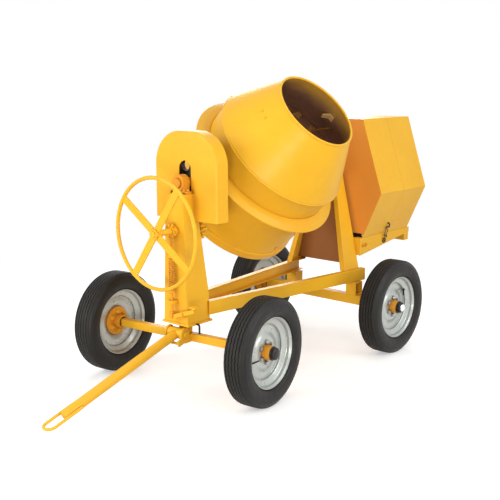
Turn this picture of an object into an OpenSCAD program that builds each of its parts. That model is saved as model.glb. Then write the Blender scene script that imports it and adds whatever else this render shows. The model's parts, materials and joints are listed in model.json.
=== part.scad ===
// Towable tilting-drum concrete mixer. Millimetres, +Z up, +Y from the drawbar to the engine, +X to the
// discharge side. Modules are drawn from the middle of the front axle and moved to the middle of the
// footprint.

/* [Wheels] */
// Outer diameter of a tyre
tyre_d = 680; // [640:5:720]
// Width of a tyre
tyre_w = 160; // [150:2:176]
// Diameter of the rim flange
rim_d = 446; // [430:2:460]
// Width of the rim over its flanges
rim_w = 122; // [112:2:130]
// Tyre middle to tyre middle on one axle
track = 1220; // [1180:5:1280]
// Diameter of the wheel spindles
spindle_d = 46; // [40:1:52]
// Diameter of the hub barrel
hub_d = 92; // [86:1:100]
// Number of studs on a hub
stud_count = 6; // [4:1:8]
// Diameter of the circle of studs
stud_circle = 132; // [128:1:140]

/* [Front axle] */
// Angle that the front axle is steered to
steer_deg = 6; // [-12:1:12]
// Side of the square axle beam
axle_size = 52; // [48:1:60]
// Diameter of the kingpin
kingpin_d = 36; // [32:1:40]
// Distance of the drawbar pin ahead of the axle
pin_ahead = 89; // [84:1:96]
// Diameter of the drawbar pin
pin_d = 25; // [20:1:30]
// Length of the drawbar sleeve
sleeve_len = 110; // [100:2:130]
// Outer diameter of the drawbar sleeve
sleeve_d = 72; // [68:1:76]
// Outer diameter of the drawbar tube
drawbar_d = 62; // [54:1:66]
// Pin to the tip of the eye, along the drawbar
drawbar_len = 1160; // [1080:5:1200]
// Angle of the drawbar below level when it lies on its rest
drawbar_drop = 13.5; // [10:0.5:16]
// Height of the drawbar pin above the middle of the axle
pin_lift = 38; // [34:1:42]
// Length of the towing eye ahead of its tube
eye_len = 155; // [130:1:180]
// Length of the eye's legs along the tube
eye_weld = 100; // [80:1:120]
// Diameter of the eye bar
eye_bar = 18; // [16:1:22]

/* [Column] */
// Height of the underside of the column
col_base_z = 445; // [430:1:460]
// Width of the column at its foot
col_base_w = 212; // [200:2:230]
// Width of the column at its top
col_top_w = 152; // [146:2:170]
// Front face of the column ahead of the axle
col_front = 88; // [80:1:96]
// Back of the column at its foot
col_base_back = 115; // [105:1:120]
// Back of the column at its top
col_top_back = 23; // [16:1:28]
// Height where the back of the column starts to lean forward
col_knee_z = 620; // [600:2:640]
// Sheet thickness of the column and stand
sheet = 6; // [5:0.5:8]
// Thickness of the plate under the column
base_plate = 14; // [10:1:18]

/* [Chassis] */
// Height of the channel rails
rail_h = 90; // [80:1:100]
// Flange width of the channel rails
rail_flange = 45; // [40:1:55]
// Wall of the channel rails
rail_wall = 7; // [6:0.5:9]
// Rail underside above the underside of the column
rail_lift = 30; // [25:1:40]
// Rail middle to rail middle at the rear axle
rail_spread = 565; // [540:5:600]
// Side of the square rear axle beam
rear_axle_size = 70; // [64:1:76]
// Depth of the rear stand along the machine at its top
stand_depth = 100; // [90:2:110]
// Depth of the rear stand along the machine at its foot
stand_base_depth = 182; // [170:2:190]
// Outside width of the rear stand at its foot
stand_base_w = 548; // [530:2:570]
// Outside width of the rear stand at its top
stand_top_w = 220; // [210:2:236]
// Width of a stand post at its foot
post_base_w = 45; // [40:1:60]
// Width of a stand post at its top
post_top_w = 34; // [30:1:44]

/* [Tilting gear] */
// Height of the trunnion axis
trunnion_z = 1330; // [1310:2:1360]
// Module of the tilting gear
tilt_module = 10.5; // [10:0.1:11]
// Teeth on the tilting gear
tilt_teeth = 40; // [36:4:40]
// Teeth on the tilting pinion
tilt_pinion_teeth = 16; // [16:4:16]
// Face width of the tilting gear
tilt_gear_w = 34; // [28:1:38]
// Outer diameter of the handwheel
handwheel_d = 714; // [660:2:740]
// Diameter of the handwheel tube
handwheel_tube = 25; // [20:1:30]
// Distance from the column face to the middle of the handwheel
handwheel_ahead = 162; // [140:2:180]
// Diameter of the handwheel shaft
wheel_shaft_d = 40; // [34:1:44]
// Sheet thickness of the gear cover
cover_sheet = 4; // [3:0.5:6]
// Half width of the gear cover
cover_half = 270; // [250:2:290]
// Height of the top of the gear cover
cover_top_z = 1648; // [1630:2:1670]
// Radius of the upper corners of the gear cover
cover_round = 214; // [180:2:230]
// Front of the gear cover behind the middle of the axle
cover_y0 = 12; // [8:1:16]
// Half width of the slot in the gear cover
slot_half = 52; // [46:1:56]

/* [Foot lock] */
// Diameter of the lock disc
lock_disc_d = 92; // [84:2:100]
// Diameter of the lock rod
lock_rod_d = 14; // [12:1:15]
// Length of the return spring
spring_len = 210; // [190:2:230]
// Diameter of the spring over its wire
spring_d = 38; // [34:1:40]
// Diameter of the spring wire
spring_wire = 5; // [4:0.5:6]
// Number of curls in the spring
spring_turns = 14; // [10:1:18]
// Distance from the lock rod to the pedal pivot
pedal_arm = 88; // [80:1:92]
// Slope of the pedal lever
pedal_slope = 19; // [15:1:23]

/* [Drum] */
// Diameter of the toothed band
band_d = 1112; // [1090:2:1136]
// Diameter of the drum at the lap of the cone
lap_d = 960; // [940:2:984]
// Height of the lap above the trunnion axis
lap_h = 282; // [266:2:300]
// Diameter of the mouth
mouth_d = 574; // [540:2:600]
// Height of the mouth above the trunnion axis
mouth_h = 645; // [630:5:680]
// Diameter of the rolled bead of the mouth
mouth_bead = 16; // [12:1:20]
// Diameter of the dished bottom over its flange
bottom_d = 976; // [960:2:996]
// Depth of the bottom below the trunnion axis
bottom_depth = 355; // [340:5:380]
// Depth of the flange's edge below the trunnion axis
bottom_lap = 285; // [270:5:295]
// How far the flange of the bottom stands out from the wall
bottom_lip = 10; // [6:0.5:12]
// Radius between the flange and the flat of the bottom
knuckle_r = 20; // [15:1:30]
// Plate thickness of the drum
drum_plate = 6; // [5:0.5:8]
// Angle of the drum from upright towards the discharge side
drum_tilt_deg = 48; // [40:1:56]
// Number of mixing blades
blade_count = 3; // [3:1:4]

/* [Cradle and drive] */
// Thickness of the yoke arms
yoke_t = 28; // [24:1:32]
// Width of the yoke
yoke_w = 120; // [110:2:140]
// Diameter of the front trunnion
front_trunnion_d = 60; // [50:1:70]
// Diameter of the hollow rear trunnion
rear_trunnion_d = 90; // [80:1:96]
// Diameter of the drive shaft
drive_shaft_d = 44; // [38:1:48]
// Diameter of the drum shaft
drum_shaft_d = 70; // [60:1:76]
// Module of the crown teeth
crown_module = 10; // [9.6:0.1:10.2]
// Teeth on the crown
crown_teeth = 104; // [100:4:104]
// Teeth on the drive pinion
drive_teeth = 12; // [12:1:12]
// Outer diameter of the drive pulley
drive_pulley_d = 380; // [340:5:400]
// Outer diameter of the engine pulley
engine_pulley_d = 120; // [100:2:140]
// Height of the crankshaft above the engine bed
crank_h = 220; // [205:2:230]

/* [Canopy] */
// Half width of the canopy at its top edge
canopy_top_half = 260; // [240:5:280]
// Half width of the canopy at its widest
canopy_mid_half = 435; // [420:5:450]
// Half width of the canopy at its bottom edge
canopy_low_half = 280; // [275:1:290]
// Height of the top of the canopy
canopy_top_z = 1672; // [1660:2:1690]
// Height of the widest line of the canopy
canopy_mid_z = 1135; // [1110:5:1160]
// Height of the top of the engine bed
bed_z = 790; // [780:2:800]
// Length of the canopy
canopy_len = 640; // [630:5:680]
// Sheet thickness of the canopy
canopy_sheet = 4; // [3:0.5:5]
// Depth of the bed beams at the stand
bed_deep = 135; // [120:1:150]
// Depth of the bed beams at the rear
bed_shallow = 40; // [34:1:60]
// Height of the gap under the front panel of the canopy
vent_h = 30; // [20:2:50]

/* [Hidden] */
$fn = 96;
paint = [0.97, 0.75, 0.15];
shade = [0.85, 0.55, 0.18];
steel = [0.62, 0.63, 0.62];
dark = [0.16, 0.16, 0.16];
rubber = [0.17, 0.16, 0.15];
wheel_grey = [0.76, 0.78, 0.76];
engine_green = [0.28, 0.36, 0.32];

// Clearances
run = 0.05;
air = 0.5;
skin = 0.3;

// Wheels and axles
hub_z = tyre_d / 2;
rim_r = rim_d / 2;
hub_out = 62;
hub_in = 62;
flange_rim = 31;
flange_r = stud_circle / 2 + flange_rim;
disc_flat_r = flange_r + 2;
disc_u = 4;
disc_t = 8;
flange_t = 12;
spindle_out = hub_out + 14;
cap_len = 34;
stud_d = 16;
nut_d = 26;
nut_t = 13;
axle_gap = 4;
axle_end = track / 2 - hub_in - axle_gap;
spindle_root = 20;
stud_in = 20;
stud_out = 16;

// Column
pinion_r = tilt_module * tilt_pinion_teeth / 2;
gear_r = tilt_module * tilt_teeth / 2;
addendum = 0.85;
dedendum = 1.15;
tooth_root = 0.29;
tooth_pitch = 0.215;
tooth_tip = 0.12;
handwheel_z = trunnion_z - gear_r - pinion_r;
bearing_h = 65;
col_top_z = trunnion_z - bearing_h;
col_h = col_top_z - col_base_z;
function col_half(z) = (col_base_w + (col_top_w - col_base_w) * (z - col_base_z) / col_h) / 2;
function col_back(z) = col_base_back
    + (col_top_back - col_base_back) * max(0, z - col_knee_z) / (col_top_z - col_knee_z);
pinion_low_z = handwheel_z - pinion_r - addendum * tilt_module;
pinion_over = 2;
gear_gap = 5;
gear_y0 = col_back(pinion_low_z) + pinion_over + gear_gap;
gear_y1 = gear_y0 + tilt_gear_w;
gear_hole_d = 76;
gear_hole_r = 118;
base_lip = 12;
base_front_lip = 8;
kingpin_boss_d = kingpin_d + 50;
kingpin_head_d = kingpin_d + 24;
kingpin_head_t = 16;

// Handwheel and its bearings
bush_d = wheel_shaft_d + 30;
bush_out = 24;
bush_plate_t = 12;
bush_plate = bush_d - 3.5;
bush_stud_d = 12;
bush_stud_out = 20;
bush_stud_r = bush_d / 2 + 1.4;
rear_bush_len = 41;
rear_bush_gap = 4;
shaft_nose = 24;
shaft_tail = 6;
wheel_hub_d = wheel_shaft_d + 28;
wheel_hub_front = 20;
wheel_hub_back = 34;
spoke_t = 10;
spoke_w = 30;
spoke_first = 55;

// Gear cover
cover_room = 4;
cover_below = 28;
slot_above = 84;
cover_y1 = gear_y1 + cover_room;
cover_low_z = trunnion_z - gear_r - cover_below;
slot_top_z = trunnion_z + slot_above;

// Drum centre, stand and canopy along the machine
yoke_gap = 14;
yoke_clear = 19;
yoke_in = band_d / 2 + yoke_clear;
drum_y = cover_y1 + yoke_gap + yoke_t + yoke_in;
stand_back = 136;
axle_ahead = 19;
canopy_back = 31;
stand_y0 = drum_y + yoke_in + yoke_t + stand_back;
stand_y = stand_y0 + stand_depth / 2;
stand_y1 = stand_y0 + stand_depth;
wheelbase = stand_y - axle_ahead;
canopy_y0 = stand_y1 + canopy_back;
canopy_y1 = canopy_y0 + canopy_len;
canopy_split = canopy_y0 + canopy_len / 2;
hinge_off = 16;
hinge_y = canopy_y1 + hinge_off;
hinge_z = bed_z + hinge_off;
hinge_pin_d = 14;
hinge_knuckle_d = 28;
hinge_x = 150;
hinge_len = 60;
hinge_lug_t = 10;
hinge_lug_gap = 1;
bed_y1 = hinge_y + hinge_knuckle_d / 2;
bearing_len = 60;
front_bearing_gap = 6;
front_bearing_y = cover_y0 - bearing_len / 2 - front_bearing_gap;
housing_wall = 22;
bearing_step = 8;
bearing_foot_t = 16;
bearing_foot_half = col_top_w / 2 - 2;
bearing_nut_d = 22;
bearing_nut_t = 13;
bearing_nut_in = 14;

// Chassis rails
rail_z = col_base_z + rail_lift;
rail_top = rail_z + rail_h;
rail_nose = 10;
rail_y0 = col_back(rail_top) - rail_nose;
rail_tail = 30;
rail_front_x = col_half(rail_z) - rail_flange;
rail_rear_x = rail_spread / 2 - rail_flange / 2;
rail_angle = atan((rail_rear_x - rail_front_x) / wheelbase);
rail_y1 = stand_y1 + rail_tail;
rear_axle_top = hub_z + rear_axle_size / 2;

// Drawbar
pin_z = hub_z + pin_lift;
eye_bend = (drawbar_d + eye_bar) / 2;
eye_reach = norm([eye_bend * cos(drawbar_drop) * cos(steer_deg), eye_bend * sin(steer_deg)]) + eye_bar / 2;
bend_ahead = pin_ahead + (drawbar_len - eye_bar / 2 - eye_bend) * cos(drawbar_drop);
drawbar_tip_y = -bend_ahead * cos(steer_deg) - eye_reach;
lug_t = 14;
lug_rim = 8;
rest_ahead = 60;
rest_d = 18;
rest_lip = 6;
pin_head_d = pin_d + 14;
pin_head_t = 10;
mid_y = (drawbar_tip_y + bed_y1) / 2;

// Foot lock
lock_ahead = 31;
lock_y = -col_front - lock_ahead;
lock_disc_t = 10;
notch_depth = 14;
notch_w = 18;
rod_top_z = handwheel_z - lock_disc_d / 2 - 2;
guide_t = 18;
guide_half = 24;
guide_front = 18;
guide_below = 118;
upper_guide_z = rod_top_z - guide_below;
collar_z = upper_guide_z - spring_len - 2 * skin;
collar_t = 12;
guide_step = 70;
lower_guide_z = collar_z - collar_t - guide_step;
pedal_t = 10;
pedal_up = 73;
pedal_pivot_z = col_base_z + pedal_up;
clevis_pin_d = 8;
clevis_half = 13;
clevis_up = 32;
clevis_down = 10;
clevis_slot = 22;
clevis_z = pedal_pivot_z - pedal_arm * tan(pedal_slope);
pedal_pin_d = 18;
pedal_boss_d = pedal_pin_d + 16;
pedal_washer_d = pedal_pin_d + 10;
pedal_washer_t = 8;
lever_h = 26;
lever_tail = 16;
lever_slot = 18;
slot_play = 1.6;
foot_reach = 112;
foot_lift = 26;
foot_out = 46;
foot_front = 38;
foot_back = 12;
foot_t = 10;
foot_sink = 1;
bracket_w = 14;
bracket_low = 12;

// Drum
drive_r = crown_module * drive_teeth / 2;
crown_low = drive_r - addendum * crown_module;
band_low = drive_r + dedendum * crown_module;
band_h = 42;
band_top = band_low + band_h;
band_edge = 9;
band_chamfer = 5;
band_lip = 6;
bowl_top_r = lap_d / 2 - 10;
drum_floor = -bottom_depth;
yoke_below = 60;
yoke_low = bottom_depth + yoke_below;
crown_gap = 32;
crown_cover = 12;
pinion_step = 2;
crown_in = bowl_top_r + crown_gap;
crown_out = band_d / 2 - crown_cover;
pinion_in = crown_in + pinion_step;
pinion_out = crown_out + pinion_step;

// Drive line and engine
pulley_back = 22;
pulley_y0 = canopy_y0 + canopy_sheet + pulley_back;
pulley_w = 44;
pulley_y1 = pulley_y0 + pulley_w;
groove = 12;
groove_ys = [pulley_w * 0.28, pulley_w * 0.72];
pulley_hole_d = 72;
pulley_hole_r = 114;
belt_w = 9;
belt_sunk = 1;
belt_lift = 0.8;
pad_t = 8;
crank_z = bed_z + pad_t + crank_h;
crank_d = 50;
crank_boss_d = 120;
crank_boss_out = 14;
crank_nose = 6;
engine_gap = 80;
engine_len = 285;
engine_y0 = pulley_y1 + engine_gap;
engine_y1 = engine_y0 + engine_len;
engine_mid = (engine_y0 + engine_y1) / 2;
engine_foot_h = 32;
engine_foot_in = 30;
engine_foot_out = 50;
engine_foot_end = 20;
crank_half = 150;
crankcase_up = 100;
barrel_d = 170;
barrel_h = 220;
fin_d = 230;
fin_t = 8;
fin_step = 22;
fin_first = 14;
cyl_z0 = crank_z + crankcase_up;
head_z = cyl_z0 + barrel_h;
head_half = 110;
head_deep = 100;
head_h = 90;
head_top = head_z + head_h;
tank_post_in = 70;
tank_post_t = 20;
tank_post_half = 60;
tank_up = 50;
tank_z = head_top + tank_up;
tank_h = 120;
tank_half = 150;
tank_deep = 110;
filler_d = 60;
filler_h = 12;
filler_at = [120, 50];
exhaust_d = 46;
exhaust_len = 80;
silencer_d = 96;
silencer_x = 215;
silencer_half = 120;
flywheel_r = 185;
flywheel_gap = 30;
flywheel_w = 54;
flywheel_rim = 30;
flywheel_hub_d = 110;
flywheel_hub_gap = 50;
flywheel_hub_w = 38;

module at_origin() translate([0, -mid_y, 0]) children();

// A flat outline in X and Z, drawn out along Y
module along_y(y0, y1) translate([0, y1, 0]) rotate([90, 0, 0]) linear_extrude(y1 - y0) children();

// A flat outline in Y and Z, drawn out along X
module along_x(x0, x1) translate([x0, 0, 0]) rotate([90, 0, 90]) linear_extrude(x1 - x0) children();

module bar_x(d, x0, x1) translate([x0, 0, 0]) rotate([0, 90, 0]) cylinder(d = d, h = x1 - x0);

module bar_y(d, y0, y1) translate([0, y0, 0]) rotate([-90, 0, 0]) cylinder(d = d, h = y1 - y0);

module block(x0, x1, y0, y1, z0, z1) translate([x0, y0, z0]) cube([x1 - x0, y1 - y0, z1 - z0]);

module both_sides() for (s = [0, 1]) mirror([s, 0, 0]) children();

// The drum and its cradle, drawn upright about the trunnion axis and tilted
module tilted() translate([0, drum_y, trunnion_z]) rotate([0, drum_tilt_deg, 0]) children();

// What turns with the front axle
module steered() rotate([0, 0, steer_deg]) children();

// A wheel, drawn about Z with its outer side up, set on the right (1) or left (-1) of an axle
module wheel_at(side, y) translate([side * track / 2, y, hub_z]) rotate([0, side * 90, 0]) children();

// Outline of a straight-toothed gear with a tooth on its +X side
module gear_outline(teeth, m) {
    pitch = 360 / teeth;
    r = m * teeth / 2;
    flank = [[r - dedendum * m, tooth_root], [r, tooth_pitch], [r + addendum * m, tooth_tip]];
    back = [flank[2], flank[1], flank[0]];
    polygon([for (i = [0 : teeth - 1]) each concat(
        [for (p = flank) p[0] * [cos((i - p[1]) * pitch), sin((i - p[1]) * pitch)]],
        [for (p = back) p[0] * [cos((i + p[1]) * pitch), sin((i + p[1]) * pitch)]])]);
}

// Outside of the column: tapered across and front to back
module column_body(inset = 0) {
    z0 = col_base_z - (inset > 0 ? 1 : 0);
    z1 = col_top_z - (inset > 0 ? sheet : 0);
    intersection() {
        along_y(-col_front + inset, col_base_back)
            polygon([[-col_half(z0) + inset, z0], [col_half(z0) - inset, z0],
                [col_half(z1) - inset, z1], [-col_half(z1) + inset, z1]]);
        along_x(-col_base_w, col_base_w)
            polygon([[-col_front + inset, z0], [col_back(z0) - inset, z0], [col_back(z0) - inset, col_knee_z],
                [col_back(z1) - inset, z1], [-col_front + inset, z1]]);
    }
}

module column() color(paint) at_origin() difference() {
    column_body();
    column_body(sheet);
    translate([0, 0, handwheel_z]) bar_y(wheel_shaft_d + 4, -col_front - 1, 0);
    translate([0, 0, handwheel_z]) bar_y(bush_d + 2 * skin, 0, col_base_back);
}

module column_base() color(paint) at_origin() difference() {
    plate_low = col_base_z - base_plate;
    boss_low = hub_z + axle_size / 2 + air;
    union() {
        block(-col_base_w / 2 - base_lip, col_base_w / 2 + base_lip, -col_front - base_front_lip,
            col_base_back + base_lip, plate_low, col_base_z);
        translate([0, 0, boss_low]) cylinder(d = kingpin_boss_d, h = plate_low - boss_low);
    }
    translate([0, 0, hub_z]) cylinder(d = kingpin_d, h = col_base_z);
}

module kingpin() color(steel) at_origin() translate([0, 0, hub_z - axle_size / 2 - kingpin_head_t]) {
    cylinder(d = kingpin_d, h = col_base_z - hub_z + axle_size / 2 + kingpin_head_t);
    cylinder(d = kingpin_head_d, h = kingpin_head_t - air);
}

module rail_profile() difference() {
    square([rail_flange, rail_h]);
    translate([-1, rail_wall]) square([rail_flange - rail_wall + 1, rail_h - 2 * rail_wall]);
}

module chassis_rails() color(paint) at_origin() both_sides() difference() {
    translate([rail_front_x, 0, rail_z]) rotate([0, 0, -rail_angle])
        along_y(rail_y0, rail_y1 / cos(rail_angle)) rail_profile();
    column_body();
}

// Outer and inner edges of a stand post at height z, and its front; its back is upright
stand_top = trunnion_z - bearing_h;
function up_stand(z) = (z - rail_top) / (stand_top - rail_top);
function stand_out(z) = (stand_base_w + (stand_top_w - stand_base_w) * up_stand(z)) / 2;
function post_w(z) = post_base_w + (post_top_w - post_base_w) * up_stand(z);
function stand_in(z) = stand_out(z) - post_w(z);
function stand_front(z) = stand_y1 - stand_base_depth + (stand_base_depth - stand_depth) * up_stand(z);
web_up = 28;
web_low = rail_top + web_up;
stand_plate_t = 14;
stand_plate_z = stand_top - stand_plate_t;

// What lies between two heights of the right post, from x0 at its foot to x1 at its top, set in from its
// faces
module post_space(z0, z1, x0, x1, inset) intersection() {
    along_y(stand_front(rail_top), stand_y1)
        polygon([[x0, z0], [stand_out(z0) - inset, z0], [stand_out(z1) - inset, z1], [x1, z1]]);
    along_x(0, stand_base_w) polygon([[stand_front(z0) + inset, z0], [stand_y1 - inset, z0],
        [stand_y1 - inset, z1], [stand_front(z1) + inset, z1]]);
}

module rear_stand() color(paint) at_origin() {
    zt = stand_plate_z;
    both_sides() difference() {
        post_space(rail_top, zt, stand_in(rail_top), stand_in(zt), 0);
        post_space(rail_top + sheet, zt + 1, 0, 0, sheet);
    }
    along_y(stand_y - sheet / 2, stand_y + sheet / 2)
        polygon([[-stand_out(web_low) + sheet, web_low], [stand_out(web_low) - sheet, web_low],
            [stand_out(zt) - sheet, zt], [-stand_out(zt) + sheet, zt]]);
    block(-stand_top_w / 2, stand_top_w / 2, stand_y0, stand_y1, zt, stand_top);
}

// A bearing block on a flat seat at the height of the stand's top
module plummer(bore, y) translate([0, y, 0]) {
    od = bore + 2 * housing_wall;
    half = bearing_len / 2 - bearing_step;
    difference() {
        union() {
            translate([0, 0, trunnion_z]) bar_y(od, -bearing_len / 2, bearing_len / 2);
            block(-od / 2, od / 2, -half, half, stand_top, trunnion_z);
            block(-bearing_foot_half, bearing_foot_half, -half, half, stand_top,
                stand_top + bearing_foot_t);
        }
        translate([0, 0, trunnion_z]) bar_y(bore + 2 * run, -bearing_len, bearing_len);
        block(-od, od, -bearing_len, bearing_len, stand_top - od, stand_top);
    }
    both_sides() translate([bearing_foot_half - bearing_nut_in, 0, stand_top + bearing_foot_t])
        cylinder(d = bearing_nut_d, h = bearing_nut_t, $fn = 6);
}

module trunnion_bearings() color(shade) at_origin() {
    plummer(front_trunnion_d, front_bearing_y);
    plummer(rear_trunnion_d, stand_y);
}

module spindle_pair() both_sides() translate([0, 0, hub_z])
    bar_x(spindle_d, axle_end - spindle_root, track / 2 + spindle_out);

module rear_axle() color(paint) at_origin() translate([0, wheelbase, 0]) union() {
    h = rear_axle_size / 2;
    block(-axle_end, axle_end, -h, h, hub_z - h, rear_axle_top);
    spindle_pair();
}

hanger_x = rail_spread / 2;
hanger_half = 45;
hanger_web = 6;
hanger_side = 7;
hanger_flange = 10;
module axle_hangers() color(paint) at_origin() both_sides() translate([hanger_x, wheelbase, 0])
    difference() {
        block(-hanger_half, hanger_half, -hanger_half, hanger_half, rear_axle_top, rail_z);
        block(hanger_web - hanger_half, hanger_half + 1, hanger_side - hanger_half, hanger_half - hanger_side,
            rear_axle_top + hanger_flange, rail_z - hanger_flange);
    }

module gear_cover() color(paint) at_origin() difference() {
    cover_solid(cover_y0, cover_y1, 0);
    cover_solid(cover_y0 + cover_sheet, cover_y1 + 1, cover_sheet);
    column_body();
    along_y(cover_y0 - 1, cover_y0 + cover_sheet + 1) {
        translate([-slot_half, col_top_z - 1]) square([2 * slot_half, slot_top_z - col_top_z + 1]);
        translate([0, slot_top_z]) circle(r = slot_half);
    }
}

// A box with two rounded upper corners
module cover_solid(y0, y1, inset) {
    low = cover_low_z - (inset > 0 ? 1 : 0);
    corner = cover_top_z - cover_round;
    flat = cover_half - cover_round;
    along_y(y0, y1) {
        for (s = [-1, 1]) translate([s * flat, corner]) circle(r = cover_round - inset);
        translate([-cover_half + inset, low]) square([2 * (cover_half - inset), corner - low]);
        translate([-flat, corner]) square([2 * flat, cover_round - inset]);
    }
}

module shaft_bearings() color(shade) at_origin() translate([0, 0, handwheel_z]) {
    rear_end = gear_y0 - rear_bush_gap;
    difference() {
        union() {
            bar_y(bush_d, -col_front - bush_out, -col_front);
            along_y(-col_front - bush_plate_t, -col_front) rotate(45) square(bush_plate, center = true);
        }
        bar_y(wheel_shaft_d + 2 * run, -col_front - bush_out - 1, -col_front + 1);
        bush_studs(bush_out + 1, 1);
    }
    bush_studs(bush_stud_out, 0);
    difference() {
        bar_y(bush_d, rear_end - rear_bush_len, rear_end);
        bar_y(wheel_shaft_d + 2 * run, rear_end - rear_bush_len - 1, rear_end + 1);
    }
}

module bush_studs(ahead, behind) for (s = [-1, 1]) translate([0, 0, s * bush_stud_r])
    bar_y(bush_stud_d, -col_front - ahead, -col_front + behind);

module pinion_shaft() color(steel) at_origin() translate([0, 0, handwheel_z]) {
    bar_y(wheel_shaft_d, -col_front - handwheel_ahead - shaft_nose, gear_y1 + pinion_over + shaft_tail);
    difference() {
        along_y(gear_y0 - pinion_over, gear_y1 + pinion_over) gear_outline(tilt_pinion_teeth, tilt_module);
        bar_y(wheel_shaft_d - 1, gear_y0 - 2 * pinion_over, gear_y1 + 2 * pinion_over);
    }
}

module tilt_gear() color(shade) at_origin() translate([0, 0, trunnion_z]) difference() {
    along_y(gear_y0, gear_y1) rotate(180 / tilt_teeth) gear_outline(tilt_teeth, tilt_module);
    bar_y(front_trunnion_d, gear_y0 - 1, gear_y1 + 1);
    for (a = [0 : 60 : 300]) rotate([0, a, 0]) translate([gear_hole_r, 0, 0])
        bar_y(gear_hole_d, gear_y0 - 1, gear_y1 + 1);
}

module handwheel() color(paint) at_origin() translate([0, -col_front - handwheel_ahead, handwheel_z]) {
    rim_mid = (handwheel_d - handwheel_tube) / 2;
    spoke_in = wheel_shaft_d / 2 + 4;
    spoke_out = rim_mid - handwheel_tube / 2 + 3;
    rotate([-90, 0, 0]) rotate_extrude() translate([rim_mid, 0]) circle(d = handwheel_tube, $fn = 32);
    difference() {
        union() {
            bar_y(wheel_hub_d, -wheel_hub_front, wheel_hub_back);
            for (k = [0 : 3]) rotate([0, -spoke_first - 90 * k, 0])
                block(spoke_in, spoke_out, -spoke_t / 2, spoke_t / 2, -spoke_w / 2, spoke_w / 2);
        }
        bar_y(wheel_shaft_d, -wheel_hub_front - 1, wheel_hub_back + 1);
    }
}

module lock_disc() color(dark) at_origin() translate([0, lock_y, handwheel_z]) difference() {
    bar_y(lock_disc_d, -lock_disc_t / 2, lock_disc_t / 2);
    bar_y(wheel_shaft_d, -lock_disc_t, lock_disc_t);
    for (a = [0 : 45 : 315]) rotate([0, a, 0])
        block(-notch_w / 2, notch_w / 2, -lock_disc_t, lock_disc_t, lock_disc_d / 2 - notch_depth,
            lock_disc_d);
}

module rod_guides() color(paint) at_origin() {
    for (z = [upper_guide_z, lower_guide_z]) difference() {
        block(-guide_half, guide_half, lock_y - guide_front, -col_front, z, z + guide_t);
        translate([0, lock_y, z - 1]) cylinder(d = lock_rod_d + 2 * run, h = guide_t + 2);
    }
    translate([pedal_arm, 0, pedal_pivot_z]) {
        lever_front = lock_y - pedal_t / 2;
        bar_y(pedal_boss_d, lock_y + pedal_t / 2 + skin, -col_front);
        bar_y(pedal_pin_d, lever_front - skin, -col_front);
        bar_y(pedal_washer_d, lever_front - pedal_washer_t, lever_front - skin);
    }
}

module lock_rod() color(dark) at_origin() translate([0, lock_y, 0]) {
    rod_low = clevis_z + clevis_up - 2;
    translate([0, 0, rod_low]) cylinder(d = lock_rod_d, h = rod_top_z - rod_low);
    translate([0, 0, collar_z - collar_t]) cylinder(d = spring_d - 2, h = collar_t);
    difference() {
        block(-clevis_half, clevis_half, -clevis_half, clevis_half, clevis_z - clevis_down,
            clevis_z + clevis_up);
        block(-clevis_half - 1, clevis_half + 1, -pedal_t / 2 - air, pedal_t / 2 + air,
            clevis_z - clevis_down - 1, clevis_z + clevis_slot);
    }
    translate([0, 0, clevis_z]) bar_y(clevis_pin_d, -clevis_half, clevis_half);
}

// A flat lever, cut out with its boss and bracket as one outline, and a foot plate on the bracket
module pedal() color(paint) at_origin() translate([pedal_arm, lock_y, pedal_pivot_z]) {
    reach = pedal_arm / cos(pedal_slope);
    bracket = foot_reach * [cos(pedal_slope), sin(pedal_slope)];
    along_y(-pedal_t / 2, pedal_t / 2) difference() {
        union() {
            rotate(pedal_slope) translate([-reach - lever_tail, -lever_h / 2])
                square([reach + lever_tail + foot_reach, lever_h]);
            circle(d = pedal_boss_d);
            translate(bracket - [bracket_w, bracket_low])
                square([bracket_w, bracket_low + foot_lift + foot_sink]);
        }
        circle(d = pedal_pin_d + 2 * run);
        rotate(pedal_slope) translate([-reach, 0])
            square([lever_slot, clevis_pin_d + slot_play], center = true);
    }
    translate([bracket[0], 0, bracket[1] + foot_lift])
        block(-bracket_w, foot_out, -foot_front, foot_back, 0, foot_t);
}

// One unbroken wire, swept along a helix with flat-lying end curls
spring_steps = spring_turns * 8;
spring_sides = 6;
function spring_rise(t) = spring_wire / 2 + (spring_len - spring_wire) * t;
function spring_point(k) = let (a = 360 * k / 8, r = (spring_d - spring_wire) / 2)
    [r * cos(a), r * sin(a), spring_rise(k / spring_steps)];
function spring_ring(k) = let (a = 360 * k / 8, p = spring_point(k))
    [for (j = [0 : spring_sides - 1]) let (b = 360 * j / spring_sides)
        p + spring_wire / 2 * [cos(b) * cos(a), cos(b) * sin(a), sin(b)]];
curl_steps = [for (k = [0 : spring_steps - 8]) norm(spring_point(k + 8) - spring_point(k))];
spring_gap = min(curl_steps) - spring_wire;
echo(least_gap_of_spring = spring_gap);

module return_spring() color(steel) at_origin() translate([0, lock_y, upper_guide_z - skin - spring_len]) {
    n = spring_sides;
    last = spring_steps * n;
    points = [for (k = [0 : spring_steps]) each spring_ring(k)];
    walls = [for (k = [0 : spring_steps - 1], j = [0 : n - 1]) let (a = k * n + j, b = k * n + (j + 1) % n)
        each [[a, b, a + n], [b, b + n, a + n]]];
    ends = [for (j = [1 : n - 2]) each [[0, j + 1, j], [last, last + j, last + j + 1]]];
    polyhedron(points, concat(walls, ends));
}

module front_axle() color(paint) at_origin() steered() difference() {
    h = axle_size / 2;
    union() {
        block(-axle_end, axle_end, -h, h, hub_z - h, hub_z + h);
        spindle_pair();
        both_sides() along_x(sleeve_len / 2 + air, sleeve_len / 2 + air + lug_t) drawbar_lug();
        lowered() translate([0, -rest_ahead, -(drawbar_d + rest_d) / 2 - skin])
            bar_x(rest_d, -sleeve_len / 2 - 2, sleeve_len / 2 + 2);
    }
    translate([0, 0, hub_z - axle_size]) cylinder(d = kingpin_d + 2 * run, h = 2 * axle_size);
}

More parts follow.
